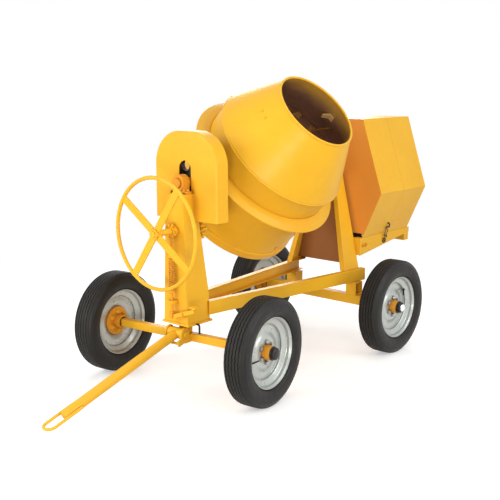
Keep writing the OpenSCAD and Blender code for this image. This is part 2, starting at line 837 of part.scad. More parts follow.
// Side plate that holds the drawbar pin and the bar that the drawbar lies on
module drawbar_lug() difference() {
    union() {
        translate([-pin_ahead, pin_z]) circle(d = sleeve_d + 2 * lug_rim);
        translate([-pin_ahead, hub_z - axle_size / 2]) square([pin_ahead - axle_size / 2, axle_size]);
        translate([-pin_ahead, pin_z]) rotate(drawbar_drop)
            translate([-rest_ahead - rest_d, -drawbar_d / 2 - rest_d - rest_lip])
                square([rest_ahead + rest_d, rest_d + 4 * rest_lip]);
    }
    translate([-pin_ahead, pin_z]) circle(d = pin_d);
}

module drawbar_pin() color(steel) at_origin() steered() translate([0, -pin_ahead, pin_z]) {
    lug_out = sleeve_len / 2 + air + lug_t;
    pin_end = lug_out + pin_head_t;
    bar_x(pin_d, -pin_end, pin_end);
    bar_x(pin_head_d, lug_out, pin_end);
    bar_x(pin_head_d, -pin_end, -lug_out);
}

// The drawbar, drawn pointing straight ahead from its pin and let down onto its rest
module lowered() translate([0, -pin_ahead, pin_z]) rotate([drawbar_drop, 0, 0]) children();

module drawbar() color(paint) at_origin() steered() lowered() difference() {
    union() {
        bar_x(sleeve_d, -sleeve_len / 2, sleeve_len / 2);
        bar_y(drawbar_d, -drawbar_len + eye_len, 0);
    }
    bar_x(pin_d + 2 * run, -sleeve_len, sleeve_len);
}

// A bent bar whose legs lie along both sides of the tube
module drawbar_eye() color(paint) at_origin() steered() lowered() translate([0, -drawbar_len, 0]) {
    bend_y = eye_bend + eye_bar / 2;
    for (s = [-1, 1]) translate([s * eye_bend, 0, 0]) bar_y(eye_bar, bend_y, eye_len + eye_weld);
    translate([0, bend_y, 0]) rotate([0, 0, 180]) rotate_extrude(angle = 180)
        translate([eye_bend, 0]) circle(d = eye_bar, $fn = 32);
}

// Half of a tyre's section from its bead to the middle of the tread
tread_half = tyre_w * 0.39;
bead_r = rim_r - 9;
wall_mid_r = (tyre_d / 2 + rim_r) / 2 - 4;
function wall_point(a) = [wall_mid_r + (tyre_d / 2 - 14 - wall_mid_r) * sin(a),
    tyre_w / 2 - (tyre_w / 2 - tread_half + 2) * (1 - cos(a))];
function low_wall_point(a) = [wall_mid_r - (wall_mid_r - rim_r - 3) * sin(a),
    tyre_w / 2 - (tyre_w / 2 - rim_w / 2 + 6) * (1 - cos(a))];
groove_us = [0, tread_half * 0.36, tread_half * 0.72];
module tyre() {
    inner = 16;
    upper = [for (a = [0 : 15 : 75]) wall_point(a)];
    lower = [for (a = [90 : -15 : 15]) low_wall_point(a)];
    half = concat([[bead_r, rim_w / 2 - 14], [rim_r + 1, rim_w / 2 - 7]], lower, upper,
        [[tyre_d / 2 - 5, tread_half - 2], [tyre_d / 2, tread_half - 12]]);
    hollow = [[bead_r - 1, rim_w / 2 - 26], [wall_mid_r, tyre_w / 2 - inner],
        [tyre_d / 2 - 30, tread_half - inner], [tyre_d / 2 - 26, 0]];
    mirrored = [for (i = [len(half) - 1 : -1 : 0]) [half[i][0], -half[i][1]]];
    hollow_back = [for (i = [len(hollow) - 2 : -1 : 0]) [hollow[i][0], -hollow[i][1]]];
    rotate_extrude() difference() {
        polygon(concat(half, mirrored));
        polygon(concat(hollow, hollow_back));
        for (u = groove_us, s = [-1, 1])
            translate([tyre_d / 2 - 8, s * u - 3.5]) square([20, 7]);
    }
}

module at_studs(u) for (i = [1 : stud_count])
    rotate(360 * i / stud_count) translate([stud_circle / 2, 0, u]) children();

module rim() {
    w = rim_w / 2;
    t = 5;
    outer = [[rim_r, w], [rim_r - 2, w - 5], [bead_r - skin, w - 12], [bead_r - skin, w - 34],
        [rim_r - 46, w - 46], [rim_r - 46, -w + 46], [bead_r - skin, -w + 34], [bead_r - skin, -w + 12],
        [rim_r - 2, -w + 5], [rim_r, -w]];
    inside = [for (i = [len(outer) - 1 : -1 : 0]) [outer[i][0] - t, outer[i][1]]];
    difference() {
        union() {
            rotate_extrude() polygon(concat(outer, inside));
            rotate_extrude() polygon([[hub_d / 2 + skin, disc_u], [disc_flat_r, disc_u],
                [rim_r - 49, disc_u - 12], [rim_r - 49, disc_u - 12 + disc_t],
                [disc_flat_r, disc_u + disc_t], [hub_d / 2 + skin, disc_u + disc_t]]);
        }
        at_studs(-rim_w / 2) cylinder(d = stud_d + 2 * air, h = rim_w);
    }
}

module hub() {
    difference() {
        union() {
            translate([0, 0, -hub_in]) cylinder(d = hub_d, h = hub_in + hub_out);
            translate([0, 0, disc_u - flange_t]) cylinder(r = flange_r, h = flange_t);
            at_studs(disc_u - stud_in) cylinder(d = stud_d, h = stud_in + disc_t + stud_out);
        }
        translate([0, 0, -hub_in - 1]) cylinder(d = spindle_d + 2 * run, h = hub_in + hub_out + 2);
    }
    at_studs(disc_u + disc_t) difference() {
        cylinder(d = nut_d, h = nut_t, $fn = 6);
        cylinder(d = stud_d, h = 3 * nut_t, center = true);
    }
}

module cap() translate([0, 0, hub_out]) rotate_extrude() {
    r = hub_d / 2 - 8;
    in = spindle_d / 2 + 3;
    polygon([[in, 0], [r + 6, 0], [r + 6, 5], [r, 5], [r, cap_len - 10], [r - 3, cap_len - 4],
        [r - 9, cap_len], [0, cap_len], [0, cap_len - 5], [in, cap_len - 5]]);
}

module tyre_front_right() color(rubber) at_origin() steered() wheel_at(1, 0) tyre();
module rim_front_right() color(wheel_grey) at_origin() steered() wheel_at(1, 0) rim();
module hub_front_right() color(paint) at_origin() steered() wheel_at(1, 0) hub();
module cap_front_right() color(dark) at_origin() steered() wheel_at(1, 0) cap();
module tyre_front_left() color(rubber) at_origin() steered() wheel_at(-1, 0) tyre();
module rim_front_left() color(wheel_grey) at_origin() steered() wheel_at(-1, 0) rim();
module hub_front_left() color(paint) at_origin() steered() wheel_at(-1, 0) hub();
module cap_front_left() color(dark) at_origin() steered() wheel_at(-1, 0) cap();
module tyre_rear_right() color(rubber) at_origin() wheel_at(1, wheelbase) tyre();
module rim_rear_right() color(wheel_grey) at_origin() wheel_at(1, wheelbase) rim();
module hub_rear_right() color(paint) at_origin() wheel_at(1, wheelbase) hub();
module cap_rear_right() color(dark) at_origin() wheel_at(1, wheelbase) cap();
module tyre_rear_left() color(rubber) at_origin() wheel_at(-1, wheelbase) tyre();
module rim_rear_left() color(wheel_grey) at_origin() wheel_at(-1, wheelbase) rim();
module hub_rear_left() color(paint) at_origin() wheel_at(-1, wheelbase) hub();
module cap_rear_left() color(dark) at_origin() wheel_at(-1, wheelbase) cap();

// Half outlines of the bowl: a wall, and a dished bottom whose flange laps over it
bowl_rim = lap_h + 10;
wall_low_r = bottom_d / 2 - bottom_lip;
function knuckle(r, z) = [for (a = [0 : -15 : -90]) [r, z] + knuckle_r * [cos(a) - 1, sin(a) + 1]];
bowl_outside = concat([[0, bowl_rim], [bowl_top_r, bowl_rim], [bowl_top_r, band_low],
    [wall_low_r, -bottom_lap], [bottom_d / 2, -bottom_lap - bottom_lip / 2]],
    knuckle(bottom_d / 2, drum_floor), [[0, drum_floor]]);
bowl_inside = concat([[0, bowl_rim + 1], [bowl_top_r - drum_plate, bowl_rim + 1],
    [bowl_top_r - drum_plate, band_low], [wall_low_r - drum_plate, -bottom_lap]],
    knuckle(wall_low_r - drum_plate, drum_floor + drum_plate), [[0, drum_floor + drum_plate]]);

module drum_bowl() color(paint) at_origin() tilted() difference() {
    rotate_extrude() polygon(bowl_outside);
    rotate_extrude() polygon(bowl_inside);
    for (i = [0 : blade_count - 1]) rotate(360 * i / blade_count) blade_bolts(blade_bolt_d + 2 * skin);
}

cone_skirt = 14;
module drum_cone() color(paint) at_origin() tilted() rotate_extrude() {
    r0 = lap_d / 2;
    r1 = mouth_d / 2;
    t = drum_plate;
    seat_r = bowl_top_r + skin;
    low = lap_h - cone_skirt;
    polygon([[seat_r, low], [r0 - 2, low], [r0, low + 2], [r0, lap_h + 6], [r1, mouth_h], [r1 - t, mouth_h],
        [r0 - t - 1, bowl_rim + 2], [seat_r, bowl_rim + 2]]);
    translate([r1 - t / 2, mouth_h]) circle(d = mouth_bead, $fn = 32);
}

module crown_band() color(paint) at_origin() tilted() union() {
    outer = band_d / 2;
    seat = bowl_top_r + skin;
    rotate_extrude() polygon([[seat, band_low], [outer, band_low], [outer, band_low + band_edge],
        [outer - band_chamfer, band_low + band_edge + band_chamfer],
        [(outer + bowl_top_r) / 2, band_top - band_edge], [bowl_top_r + band_lip, band_top],
        [seat, band_top]]);
    pitch = PI * crown_module;
    flank = [[tooth_root, band_low + 1], [tooth_pitch, drive_r], [tooth_tip, crown_low]];
    for (i = [1 : crown_teeth]) rotate(360 * (i + 0.5) / crown_teeth) translate([crown_in, 0, 0])
        along_x(0, crown_out - crown_in) polygon(concat([for (p = flank) [-p[0] * pitch, p[1]]],
            [for (k = [2 : -1 : 0]) [flank[k][0] * pitch, flank[k][1]]]));
}

blade_low = -300;
blade_high = 60;
blade_t = 10;
blade_gap = 26;
blade_reach = [120, 95];
blade_lean = [20, 30];
blade_bolt_d = 16.4;
blade_head_d = 26;
blade_head_t = 8;
blade_head_gap = 2;
bolt_hs = [blade_low + 70, blade_high - 60];
function bowl_in(h) = bowl_top_r - drum_plate
    + max(0, band_low - h) * (wall_low_r - bowl_top_r) / (band_low + bottom_lap);
module blade_bolts(d) for (h = bolt_hs) translate([bowl_in(h) - drum_plate, 0, h])
    bar_x(d, 0, 3 * drum_plate);

module mixing_blades() color(shade) at_origin() tilted() for (i = [0 : blade_count - 1])
    rotate(360 * i / blade_count) blade();

// A blade in the plane of the drum's axis, on two bolts through the wall
module blade() {
    low_out = bowl_in(blade_low) - blade_gap;
    high_out = bowl_in(blade_high) - blade_gap;
    along_y(-blade_t / 2, blade_t / 2) polygon([[low_out, blade_low], [high_out, blade_high],
        [high_out - blade_reach[1], blade_high - blade_lean[1]],
        [low_out - blade_reach[0], blade_low + blade_lean[0]]]);
    for (h = bolt_hs) translate([bowl_in(h), 0, h]) {
        head = drum_plate + blade_head_gap;
        bar_x(blade_bolt_d, -blade_gap - 2 * blade_t, head);
        bar_x(blade_head_d, head, head + blade_head_t);
    }
}

shaft_end = 90;
shaft_low = -yoke_low - yoke_t - shaft_end;
shaft_flange = 16;
shaft_flange_d = drum_shaft_d + 150;
drum_bearing_d = drum_shaft_d + 44;
drum_neck_d = drum_shaft_d + 30;
drum_neck = 10;
module drum_shaft() color(steel) at_origin() tilted() {
    translate([0, 0, shaft_low]) cylinder(d = drum_shaft_d, h = drum_floor - shaft_low);
    translate([0, 0, drum_floor - shaft_flange]) cylinder(d = shaft_flange_d, h = shaft_flange);
}

module drum_bearing() color(shade) at_origin() tilted() difference() {
    low = shaft_low + drum_neck;
    union() {
        translate([0, 0, -yoke_low])
            cylinder(d = drum_bearing_d, h = yoke_low - bottom_depth - shaft_flange - skin);
        translate([0, 0, low]) cylinder(d = drum_bearing_d, h = -yoke_low - yoke_t - low);
        translate([0, 0, low]) cylinder(d = drum_neck_d, h = -yoke_low + drum_neck - low);
    }
    translate([0, 0, shaft_low]) cylinder(d = drum_shaft_d + 2 * run, h = -shaft_low);
}

yoke_up = 60;
yoke_knee = 250;
yoke_knee_step = 8;
yoke_foot_out = 6;
yoke_foot_step = 16;
module yoke() color(shade) at_origin() tilted() difference() {
    outer = yoke_in + yoke_t;
    half_low = bottom_d / 2 + yoke_foot_out;
    foot = -yoke_low - yoke_t;
    right = [[outer, yoke_up], [outer, -yoke_knee], [half_low, foot]];
    inside = [[half_low - yoke_foot_step, -yoke_low], [yoke_in, -yoke_knee + yoke_knee_step],
        [yoke_in, yoke_up]];
    left = [for (k = [2 : -1 : 0]) [-right[k][0], right[k][1]]];
    inside_left = [for (k = [2 : -1 : 0]) [-inside[k][0], inside[k][1]]];
    along_x(-yoke_w / 2, yoke_w / 2) polygon(concat(right, left, inside_left, inside));
    translate([0, 0, -yoke_low - yoke_t - 1]) cylinder(d = drum_neck_d, h = yoke_t + 2);
    bar_y(front_trunnion_d, -yoke_in - yoke_t - 1, 0);
    bar_y(rear_trunnion_d, 0, yoke_in + yoke_t + 1);
}

trunnion_nose = 12;
trunnion_tail = 14;
module trunnions() color(steel) at_origin() translate([0, 0, trunnion_z]) {
    bar_y(front_trunnion_d, front_bearing_y - bearing_len / 2 - trunnion_nose, drum_y - yoke_in);
    difference() {
        bar_y(rear_trunnion_d, drum_y + yoke_in, stand_y + bearing_len / 2 + trunnion_tail);
        bar_y(drive_shaft_d + 2 * run, drum_y, stand_y1 + bearing_len);
    }
}

drive_end = 8;
module drive_shaft() color(steel) at_origin() translate([0, 0, trunnion_z])
    bar_y(drive_shaft_d, drum_y + pinion_in, pulley_y1 + drive_end);

module drive_pinion() color(steel) at_origin() translate([0, drum_y, trunnion_z]) difference() {
    along_y(pinion_in, pinion_out) rotate(90 - drum_tilt_deg) gear_outline(drive_teeth, crown_module);
    bar_y(drive_shaft_d, 0, pinion_out + 1);
}

// A grooved pulley about Y; grooves for two belts
module pulley(d, bore) difference() {
    rotate([-90, 0, 0]) rotate_extrude() difference() {
        square([d / 2, pulley_w]);
        for (y = groove_ys) translate([d / 2, y])
            polygon([[1, -8], [-groove, -5], [-groove, 5], [1, 8]]);
    }
    bar_y(bore, -1, pulley_w + 1);
}

module drive_pulley() color(dark) at_origin() translate([0, pulley_y0, trunnion_z]) difference() {
    pulley(drive_pulley_d, drive_shaft_d);
    for (a = [0 : 60 : 300]) rotate([0, a, 0]) translate([pulley_hole_r, 0, 0])
        bar_y(pulley_hole_d, -1, pulley_w + 1);
}

module drive_belts() color(rubber) at_origin() for (y = groove_ys)
    along_y(pulley_y0 + y - belt_w / 2, pulley_y0 + y + belt_w / 2) difference() {
        belt_outline(-belt_sunk);
        belt_outline(belt_lift - groove);
    }

module belt_outline(out) hull() {
    translate([0, trunnion_z]) circle(r = drive_pulley_d / 2 + out, $fn = 72);
    translate([0, crank_z]) circle(r = engine_pulley_d / 2 + out, $fn = 72);
}

module crankshaft() color(dark) at_origin() translate([0, 0, crank_z]) {
    wheel_y = engine_y1 + flywheel_gap;
    wheel_end = wheel_y + flywheel_w;
    hub_y = engine_y1 + flywheel_hub_gap;
    bar_y(crank_d, pulley_y0 - crank_nose, wheel_end + crank_nose);
    translate([0, pulley_y0, 0]) pulley(engine_pulley_d, crank_d - 1);
    difference() {
        bar_y(2 * flywheel_r, wheel_y, wheel_end);
        bar_y(2 * (flywheel_r - flywheel_rim), wheel_y + flywheel_rim, wheel_end + 1);
        bar_y(crank_d - 1, wheel_y - 1, wheel_end + 1);
    }
    bar_y(flywheel_hub_d, hub_y, hub_y + flywheel_hub_w);
}

module engine() color(engine_green) at_origin() difference() {
    case_z = bed_z + pad_t + engine_foot_h;
    union() {
        block(-crank_half, crank_half, engine_y0, engine_y1, case_z, cyl_z0);
        both_sides() block(crank_half - engine_foot_in, crank_half + engine_foot_out,
            engine_y0 + engine_foot_end, engine_y1 - engine_foot_end, bed_z + pad_t, case_z);
        translate([0, engine_mid, 0]) {
            translate([0, 0, cyl_z0]) cylinder(d = barrel_d, h = barrel_h);
            for (z = [cyl_z0 + fin_first : fin_step : head_z - fin_t]) translate([0, 0, z])
                cylinder(d = fin_d, h = fin_t);
            block(-head_half, head_half, -head_deep, head_deep, head_z, head_top);
            both_sides() block(tank_post_in, tank_post_in + tank_post_t, -tank_post_half, tank_post_half,
                head_top, tank_z);
        }
        bar_at_crank(crank_boss_d, engine_y0 - crank_boss_out, engine_y1 + crank_boss_out);
    }
    bar_at_crank(crank_d + 2 * run, engine_y0 - 2 * crank_boss_out, engine_y1 + 2 * crank_boss_out);
}

module bar_at_crank(d, y0, y1) translate([0, 0, crank_z]) bar_y(d, y0, y1);

module fuel_tank() color(paint) at_origin() translate([0, engine_mid, tank_z]) {
    block(-tank_half, tank_half, -tank_deep, tank_deep, 0, tank_h);
    both_sides() translate([tank_half, 0, tank_h / 2]) bar_y(tank_h, -tank_deep, tank_deep);
    translate([filler_at[0], filler_at[1], tank_h]) cylinder(d = filler_d, h = filler_h);
}

module silencer() color(dark) at_origin() translate([0, engine_mid, head_z + head_h / 2]) {
    bar_x(exhaust_d, head_half, head_half + exhaust_len);
    translate([silencer_x, 0, 0]) bar_y(silencer_d, -silencer_half, silencer_half);
}

module canopy_outline(inset) {
    low = bed_z - (inset > 0 ? 1 : 0);
    polygon([[-canopy_low_half + inset, low], [canopy_low_half - inset, low],
        [canopy_mid_half - inset, canopy_mid_z], [canopy_top_half - inset, canopy_top_z - inset],
        [-canopy_top_half + inset, canopy_top_z - inset], [-canopy_mid_half + inset, canopy_mid_z]]);
}

seam = 2;
shaft_hole_d = drive_shaft_d + 50;
module canopy_front() color(paint) at_origin() {
    difference() {
        along_y(canopy_y0, canopy_split - seam / 2) canopy_outline(0);
        along_y(canopy_y0 + canopy_sheet, canopy_split) canopy_outline(canopy_sheet);
        translate([0, 0, trunnion_z]) bar_y(shaft_hole_d, canopy_y0 - 1, canopy_y0 + canopy_sheet + 1);
        block(canopy_sheet - canopy_low_half, canopy_low_half - canopy_sheet, canopy_y0 - 1,
            canopy_y0 + canopy_sheet + 1, bed_z - 1, bed_z + vent_h);
    }
    latch_peg();
}

latch_y = canopy_split - 26;
latch_low_z = bed_z - 28;
latch_up = 78;
latch_r = 3;
latch_leg = 14;
latch_lug = 20;
latch_pin = 8;
latch_barrel = 16;
latch_ear_t = 6;
peg_in = 26;
peg_out = 10;
peg_half = 8;
peg_t = 10.5;
function canopy_side(z) = canopy_low_half
    + (canopy_mid_half - canopy_low_half) * (z - bed_z) / (canopy_mid_z - bed_z);
latch_x = canopy_low_half + 13;
latch_top = [canopy_side(latch_low_z + latch_up) + 14, latch_low_z + latch_up];
latch_lean = atan((latch_top[0] - latch_x) / latch_up);
latch_run = latch_up / cos(latch_lean);
module at_latch() translate([latch_x, latch_y, latch_low_z]) rotate([0, latch_lean, 0]) children();

module latch_peg() at_latch() {
    top = latch_run - latch_r - air;
    block(-peg_in, peg_out, -peg_half, peg_half, top - peg_t, top);
}

// A bent wire on two barrels, which turns on the pin of the engine bed
module latch_bail() color(steel) at_origin() at_latch() {
    difference() {
        for (s = [0, 1]) mirror([0, s, 0]) {
            translate([0, latch_leg, 0]) cylinder(r = latch_r, h = latch_run);
            bar_y(latch_barrel, latch_leg - 5, latch_lug - air);
        }
        bar_y(latch_pin + 2 * run, -latch_lug, latch_lug);
    }
    translate([0, 0, latch_run]) bar_y(2 * latch_r, -latch_leg - latch_r, latch_leg + latch_r);
}

beam_flange = 58;
beam_out = canopy_low_half + 2;
beam_wall = 8;
bracket_t = 10;
pad_w = 60;
pad_in = 40;
cross_len = 62;
cross_h = 66;
cross_in = 8;
cross_up = 4;
bracket_up = 4;
hinge_pin_end = 4;
shelf_gap = 6;
module bed_beam() difference() {
    in = beam_out - beam_flange;
    along_x(in, beam_out) polygon([[stand_y1, bed_z - bed_deep], [bed_y1, bed_z - bed_shallow],
        [bed_y1, bed_z], [stand_y1, bed_z]]);
    along_x(in - 1, beam_out - beam_wall) polygon([[stand_y1 - 1, bed_z - bed_deep - beam_wall],
        [bed_y1 + 1, bed_z - bed_shallow - 2 * beam_wall], [bed_y1 + 1, bed_z - beam_wall],
        [stand_y1 - 1, bed_z - beam_wall]]);
}

module engine_bed() color(paint) at_origin() {
    both_sides() {
        bed_beam();
        block(stand_in(bed_z), beam_out - beam_wall + 2, stand_y1, stand_y1 + bracket_t,
            bed_z - bed_deep + bracket_up, bed_z);
    }
    for (y = [engine_y0 + pad_in, engine_y1 - pad_in - pad_w])
        block(pad_in / 2 - canopy_low_half, canopy_low_half - pad_in / 2, y, y + pad_w, bed_z, bed_z + pad_t);
    cross_z = bed_z - bed_shallow + cross_up;
    block(-beam_out, beam_out, bed_y1 - cross_in - cross_len, bed_y1 - cross_in, cross_z - cross_h, cross_z);
    lug_x = (hinge_len + hinge_lug_t + 2 * hinge_lug_gap) / 2;
    for (s = [-1, 1], k = [-1, 1]) hinge_lug(s * hinge_x + k * lug_x);
    for (s = [-1, 1]) translate([s * hinge_x, hinge_y, hinge_z]) {
        reach = hinge_len / 2 + hinge_lug_t + hinge_pin_end;
        bar_x(hinge_pin_d, -reach, reach);
    }
    block(-canopy_low_half, canopy_low_half, canopy_y1 + shelf_gap, bed_y1, bed_z - beam_wall, bed_z);
    translate([latch_x, latch_y, latch_low_z]) {
        root = beam_out - latch_x;
        ear_half = latch_barrel / 2;
        bar_y(latch_pin, -latch_lug - 4, latch_lug + 4);
        for (y = [-latch_lug - latch_ear_t, latch_lug])
            block(root, ear_half, y, y + latch_ear_t, -ear_half, ear_half);
        block(root, -ear_half - air, -latch_lug, latch_lug, -ear_half, ear_half);
    }
}

module hinge_lug(x) {
    h = hinge_lug_t / 2;
    translate([0, hinge_y, hinge_z]) bar_x(hinge_knuckle_d, x - h, x + h);
    block(x - h, x + h, hinge_y - hinge_knuckle_d / 2, hinge_y + hinge_knuckle_d / 2, bed_z, hinge_z);
}

module canopy_rear() color(paint) at_origin() {
    difference() {
        along_y(canopy_split + seam / 2, canopy_y1) canopy_outline(0);
        along_y(canopy_split, canopy_y1 - canopy_sheet) canopy_outline(canopy_sheet);
    }
    for (s = [-1, 1]) difference() {
        union() {
            translate([s * hinge_x, hinge_y, hinge_z])
                bar_x(hinge_knuckle_d, -hinge_len / 2, hinge_len / 2);
            translate([s * hinge_x, 0, hinge_z])
                block(-hinge_len / 2, hinge_len / 2, canopy_y1, hinge_y, 0, hinge_knuckle_d / 2);
        }
        translate([s * hinge_x, hinge_y, hinge_z]) bar_x(hinge_pin_d + 2 * run, -hinge_len, hinge_len);
    }
}

chassis_rails();
column();
column_base();
kingpin();
rear_stand();
trunnion_bearings();
rear_axle();
axle_hangers();
gear_cover();
shaft_bearings();
rod_guides();
engine_bed();
engine();
fuel_tank();
silencer();
drive_belts();
canopy_front();
front_axle();
drawbar_pin();
drawbar();
drawbar_eye();
tyre_front_right();
rim_front_right();
hub_front_right();
cap_front_right();
tyre_front_left();
rim_front_left();
hub_front_left();
cap_front_left();
tyre_rear_right();
rim_rear_right();
hub_rear_right();
cap_rear_right();
tyre_rear_left();
rim_rear_left();
hub_rear_left();
cap_rear_left();
handwheel();
pinion_shaft();
lock_disc();
pedal();
lock_rod();
return_spring();
yoke();
trunnions();
tilt_gear();
drum_bearing();
drum_bowl();
drum_cone();
crown_band();
mixing_blades();
drum_shaft();
drive_shaft();
drive_pinion();
drive_pulley();
crankshaft();
canopy_rear();
latch_bail();
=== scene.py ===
"""Looks of the towable concrete mixer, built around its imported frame. Metres, +Z up."""
import json
from math import cos, hypot, pi, radians, sin

import bmesh
import bpy
from mathutils import Matrix, Vector

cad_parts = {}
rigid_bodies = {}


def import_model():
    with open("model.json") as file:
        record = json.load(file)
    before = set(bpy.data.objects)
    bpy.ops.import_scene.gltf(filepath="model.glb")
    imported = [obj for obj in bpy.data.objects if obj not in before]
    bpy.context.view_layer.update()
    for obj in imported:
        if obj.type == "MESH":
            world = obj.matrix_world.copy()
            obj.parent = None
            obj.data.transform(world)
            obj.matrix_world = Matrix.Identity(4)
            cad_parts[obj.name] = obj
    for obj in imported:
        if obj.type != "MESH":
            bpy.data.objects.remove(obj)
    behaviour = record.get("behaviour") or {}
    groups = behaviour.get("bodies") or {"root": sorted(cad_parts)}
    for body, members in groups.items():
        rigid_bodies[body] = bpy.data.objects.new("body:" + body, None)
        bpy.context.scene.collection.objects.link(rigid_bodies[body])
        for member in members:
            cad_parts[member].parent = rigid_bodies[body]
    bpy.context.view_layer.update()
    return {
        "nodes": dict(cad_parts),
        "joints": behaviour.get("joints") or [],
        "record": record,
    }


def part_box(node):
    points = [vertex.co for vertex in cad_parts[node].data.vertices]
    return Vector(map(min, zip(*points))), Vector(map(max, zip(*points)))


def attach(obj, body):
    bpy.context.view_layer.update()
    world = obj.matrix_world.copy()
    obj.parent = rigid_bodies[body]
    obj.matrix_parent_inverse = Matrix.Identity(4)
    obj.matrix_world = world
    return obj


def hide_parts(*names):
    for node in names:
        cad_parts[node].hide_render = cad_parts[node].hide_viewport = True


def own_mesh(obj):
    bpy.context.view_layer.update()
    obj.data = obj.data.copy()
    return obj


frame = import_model()
NODES = frame["nodes"]
JOINTS = {j["name"]: j for j in frame["joints"]}
SLOT_OF = {p["node"]: p["material_slot"] for p in frame["record"]["subparts"]}
BODY_OF = {n: body for body, members in frame["record"]["behaviour"]["bodies"].items() for n in members}
UP = Vector((0, 0, 1))
TURN = 2 * pi

# Corners closer than MERGE are one, faces flatter than FLAT are one, and edges sharper than SHARP are broken
MERGE = 2e-6
FLAT = radians(0.7)
SHARP = radians(34)
# Clearance between shells that sit on each other
FIT = 0.0003

# Camera, as the photograph was taken
CAMERA_AT = Vector((3.8534, -4.3532, 1.9707))
CAMERA_HEADING = radians(40.854)
CAMERA_PITCH = radians(11.194)
CAMERA_LENS = 62.68
SENSOR = 36.0

# Coats, as linear colours, each with its deeper patches
YELLOW = (0.90, 0.50, 0.024), (0.80, 0.38, 0.018)
ORANGE = (0.86, 0.38, 0.026), (0.74, 0.29, 0.018)
# Painted shade: an oranger copy of the yellow coat for the canopy's front faces, which sit in the drum's shadow
PANEL_PAINTED_SHADE = (0.84, 0.345, 0.056), (0.78, 0.31, 0.042)
# Painted shade: a dark brown coat for the stand's web, which sits in the drum's shadow
WEB_PAINTED_SHADE = (0.34, 0.135, 0.038), (0.25, 0.095, 0.028)
# Painted light: a paler coat for the paddle brackets, as if lit deep inside the drum's mouth
BRACKET_PAINTED_LIGHT = (0.95, 0.68, 0.30), (0.90, 0.55, 0.16)
WHEEL_GREY = (0.50, 0.53, 0.51), (0.43, 0.46, 0.44)
BLACK = (0.012, 0.012, 0.013), (0.030, 0.029, 0.028)
ENGINE_GREEN = (0.050, 0.085, 0.070), (0.030, 0.052, 0.044)
STEEL = (0.46, 0.46, 0.45), (0.30, 0.29, 0.28)
# Painted highlight: near-white polished metal for the plug that stands for the highlight on one hub cap
PLUG_HIGHLIGHT = (0.92, 0.92, 0.90), (0.80, 0.80, 0.78)
IRON = (0.11, 0.105, 0.10), (0.055, 0.050, 0.047)
RUBBER = (0.0080, 0.0075, 0.0068), (0.015, 0.0137, 0.0124)
# Cement stain with painted shade: the dark brown inside of the drum
STAIN_AND_SHADE = (0.34, 0.19, 0.125), (0.24, 0.13, 0.085)
# What shows through a coat or lies on it, the painted shade mixed into crevices, and the painted light deep in the drum
PRIMER = (0.30, 0.10, 0.05)
# Painted shade: the colours that coats darken towards in their crevices
YELLOW_CREVICE_SHADE = (0.46, 0.19, 0.020)
ORANGE_CREVICE_SHADE = (0.30, 0.10, 0.015)
WHEEL_CREVICE_SHADE = (0.045, 0.050, 0.047)
DUST = (0.42, 0.36, 0.29)
CEMENT = (0.30, 0.26, 0.22)
# Painted light: a pale colour for the deepest part of the drum's inside
LINING_PAINTED_LIGHT = (0.80, 0.58, 0.46)

# Light: the sky's level, what the floor gives back, and where the floor fades into the backdrop
AMBIENT = 0.36
SKY = (1, 0.985, 0.96)
BOUNCE = (0.42, 0.37, 0.31)
FLOOR = (0.92, 0.92, 0.92)
FLOOR_SIDE = 30.0
FLOOR_LIFT = 0.38
FLOOR_FADE = (2.0, 4.2)
WHITE = (1, 1, 1)
WARM = (1, 0.97, 0.92)
MIDDLE = (0, 0.1, 0.9)
# Each lamp's name, place, aim, size, watts and colour
LAMPS = [
    ("left_key", (-2.6, -5.0, 3.4), MIDDLE, (3.0, 3.0), 150, WHITE),
    ("front_low", (-0.6, -5.6, 0.9), (0, 0.2, 1.1), (3.0, 1.5), 60, WARM),
    ("camera_low", (3.6, -4.4, 0.6), (0, 0.2, 1.0), (2.4, 1.0), 128, WARM),
    ("right_key", (5.2, 0.9, 2.8), MIDDLE, (3.4, 3.0), 135, WHITE),
    ("overhead", (0.4, 0.2, 5.6), MIDDLE, (3.0, 4.0), 60, WHITE),
    ("back_fill", (-3.6, 4.4, 3.0), MIDDLE, (3.0, 2.6), 150, WHITE),
]


# Places in the frame
def point_at(joint):
    return Vector(JOINTS[joint]["pos_m"])


def axis_of(joint):
    return Vector(JOINTS[joint]["axis"]).normalized()


def off_axis(joint, place):
    """How far a place is from a joint's axis, and how far along it from the joint."""
    away = Vector(place) - point_at(joint)
    along = away.dot(axis_of(joint))
    return (away - axis_of(joint) * along).length, along


def axis_frame(at, z, x=UP):
    """A frame at a point, with its Z along one direction and its X as near as can be to another."""
    z = Vector(z).normalized()
    x = Vector(x)
    x = (x - z * x.dot(z)).normalized()
    turn = Matrix((x, z.cross(x), z)).transposed().to_4x4()
    return Matrix.Translation(at) @ turn


def round_axis(radius, angle, height):
    return Vector((radius * cos(angle), radius * sin(angle), height))


def half_size(node, axis):
    low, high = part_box(node)
    return (high[axis] - low[axis]) / 2


def placed(name, data):
    thing = bpy.data.objects.new(name, data)
    bpy.context.scene.collection.objects.link(thing)
    return thing


# Nodes of shader and geometry trees
def feed(tree, node, feeds):
    """Give a node's inputs their sockets or plain values."""
    for name, value in feeds.items():
        if isinstance(value, bpy.types.NodeSocket):
            tree.links.new(value, node.inputs[name])
        else:
            node.inputs[name].default_value = value


def add(tree, kind, feeds=None, take=0, **settings):
    """The output of a new node with its settings and feeds, or the node itself if it ends a tree."""
    node = tree.nodes.new(kind)
    for name, value in settings.items():
        setattr(node, name, value)
    feed(tree, node, feeds or {})
    return node.outputs[take] if node.outputs else node


def math_node(tree, operation, a, b):
    return add(tree, "ShaderNodeMath", {0: a, 1: b}, operation=operation)


def times(tree, a, b):
    return math_node(tree, "MULTIPLY", a, b)


def plus(tree, a, b):
    return math_node(tree, "ADD", a, b)


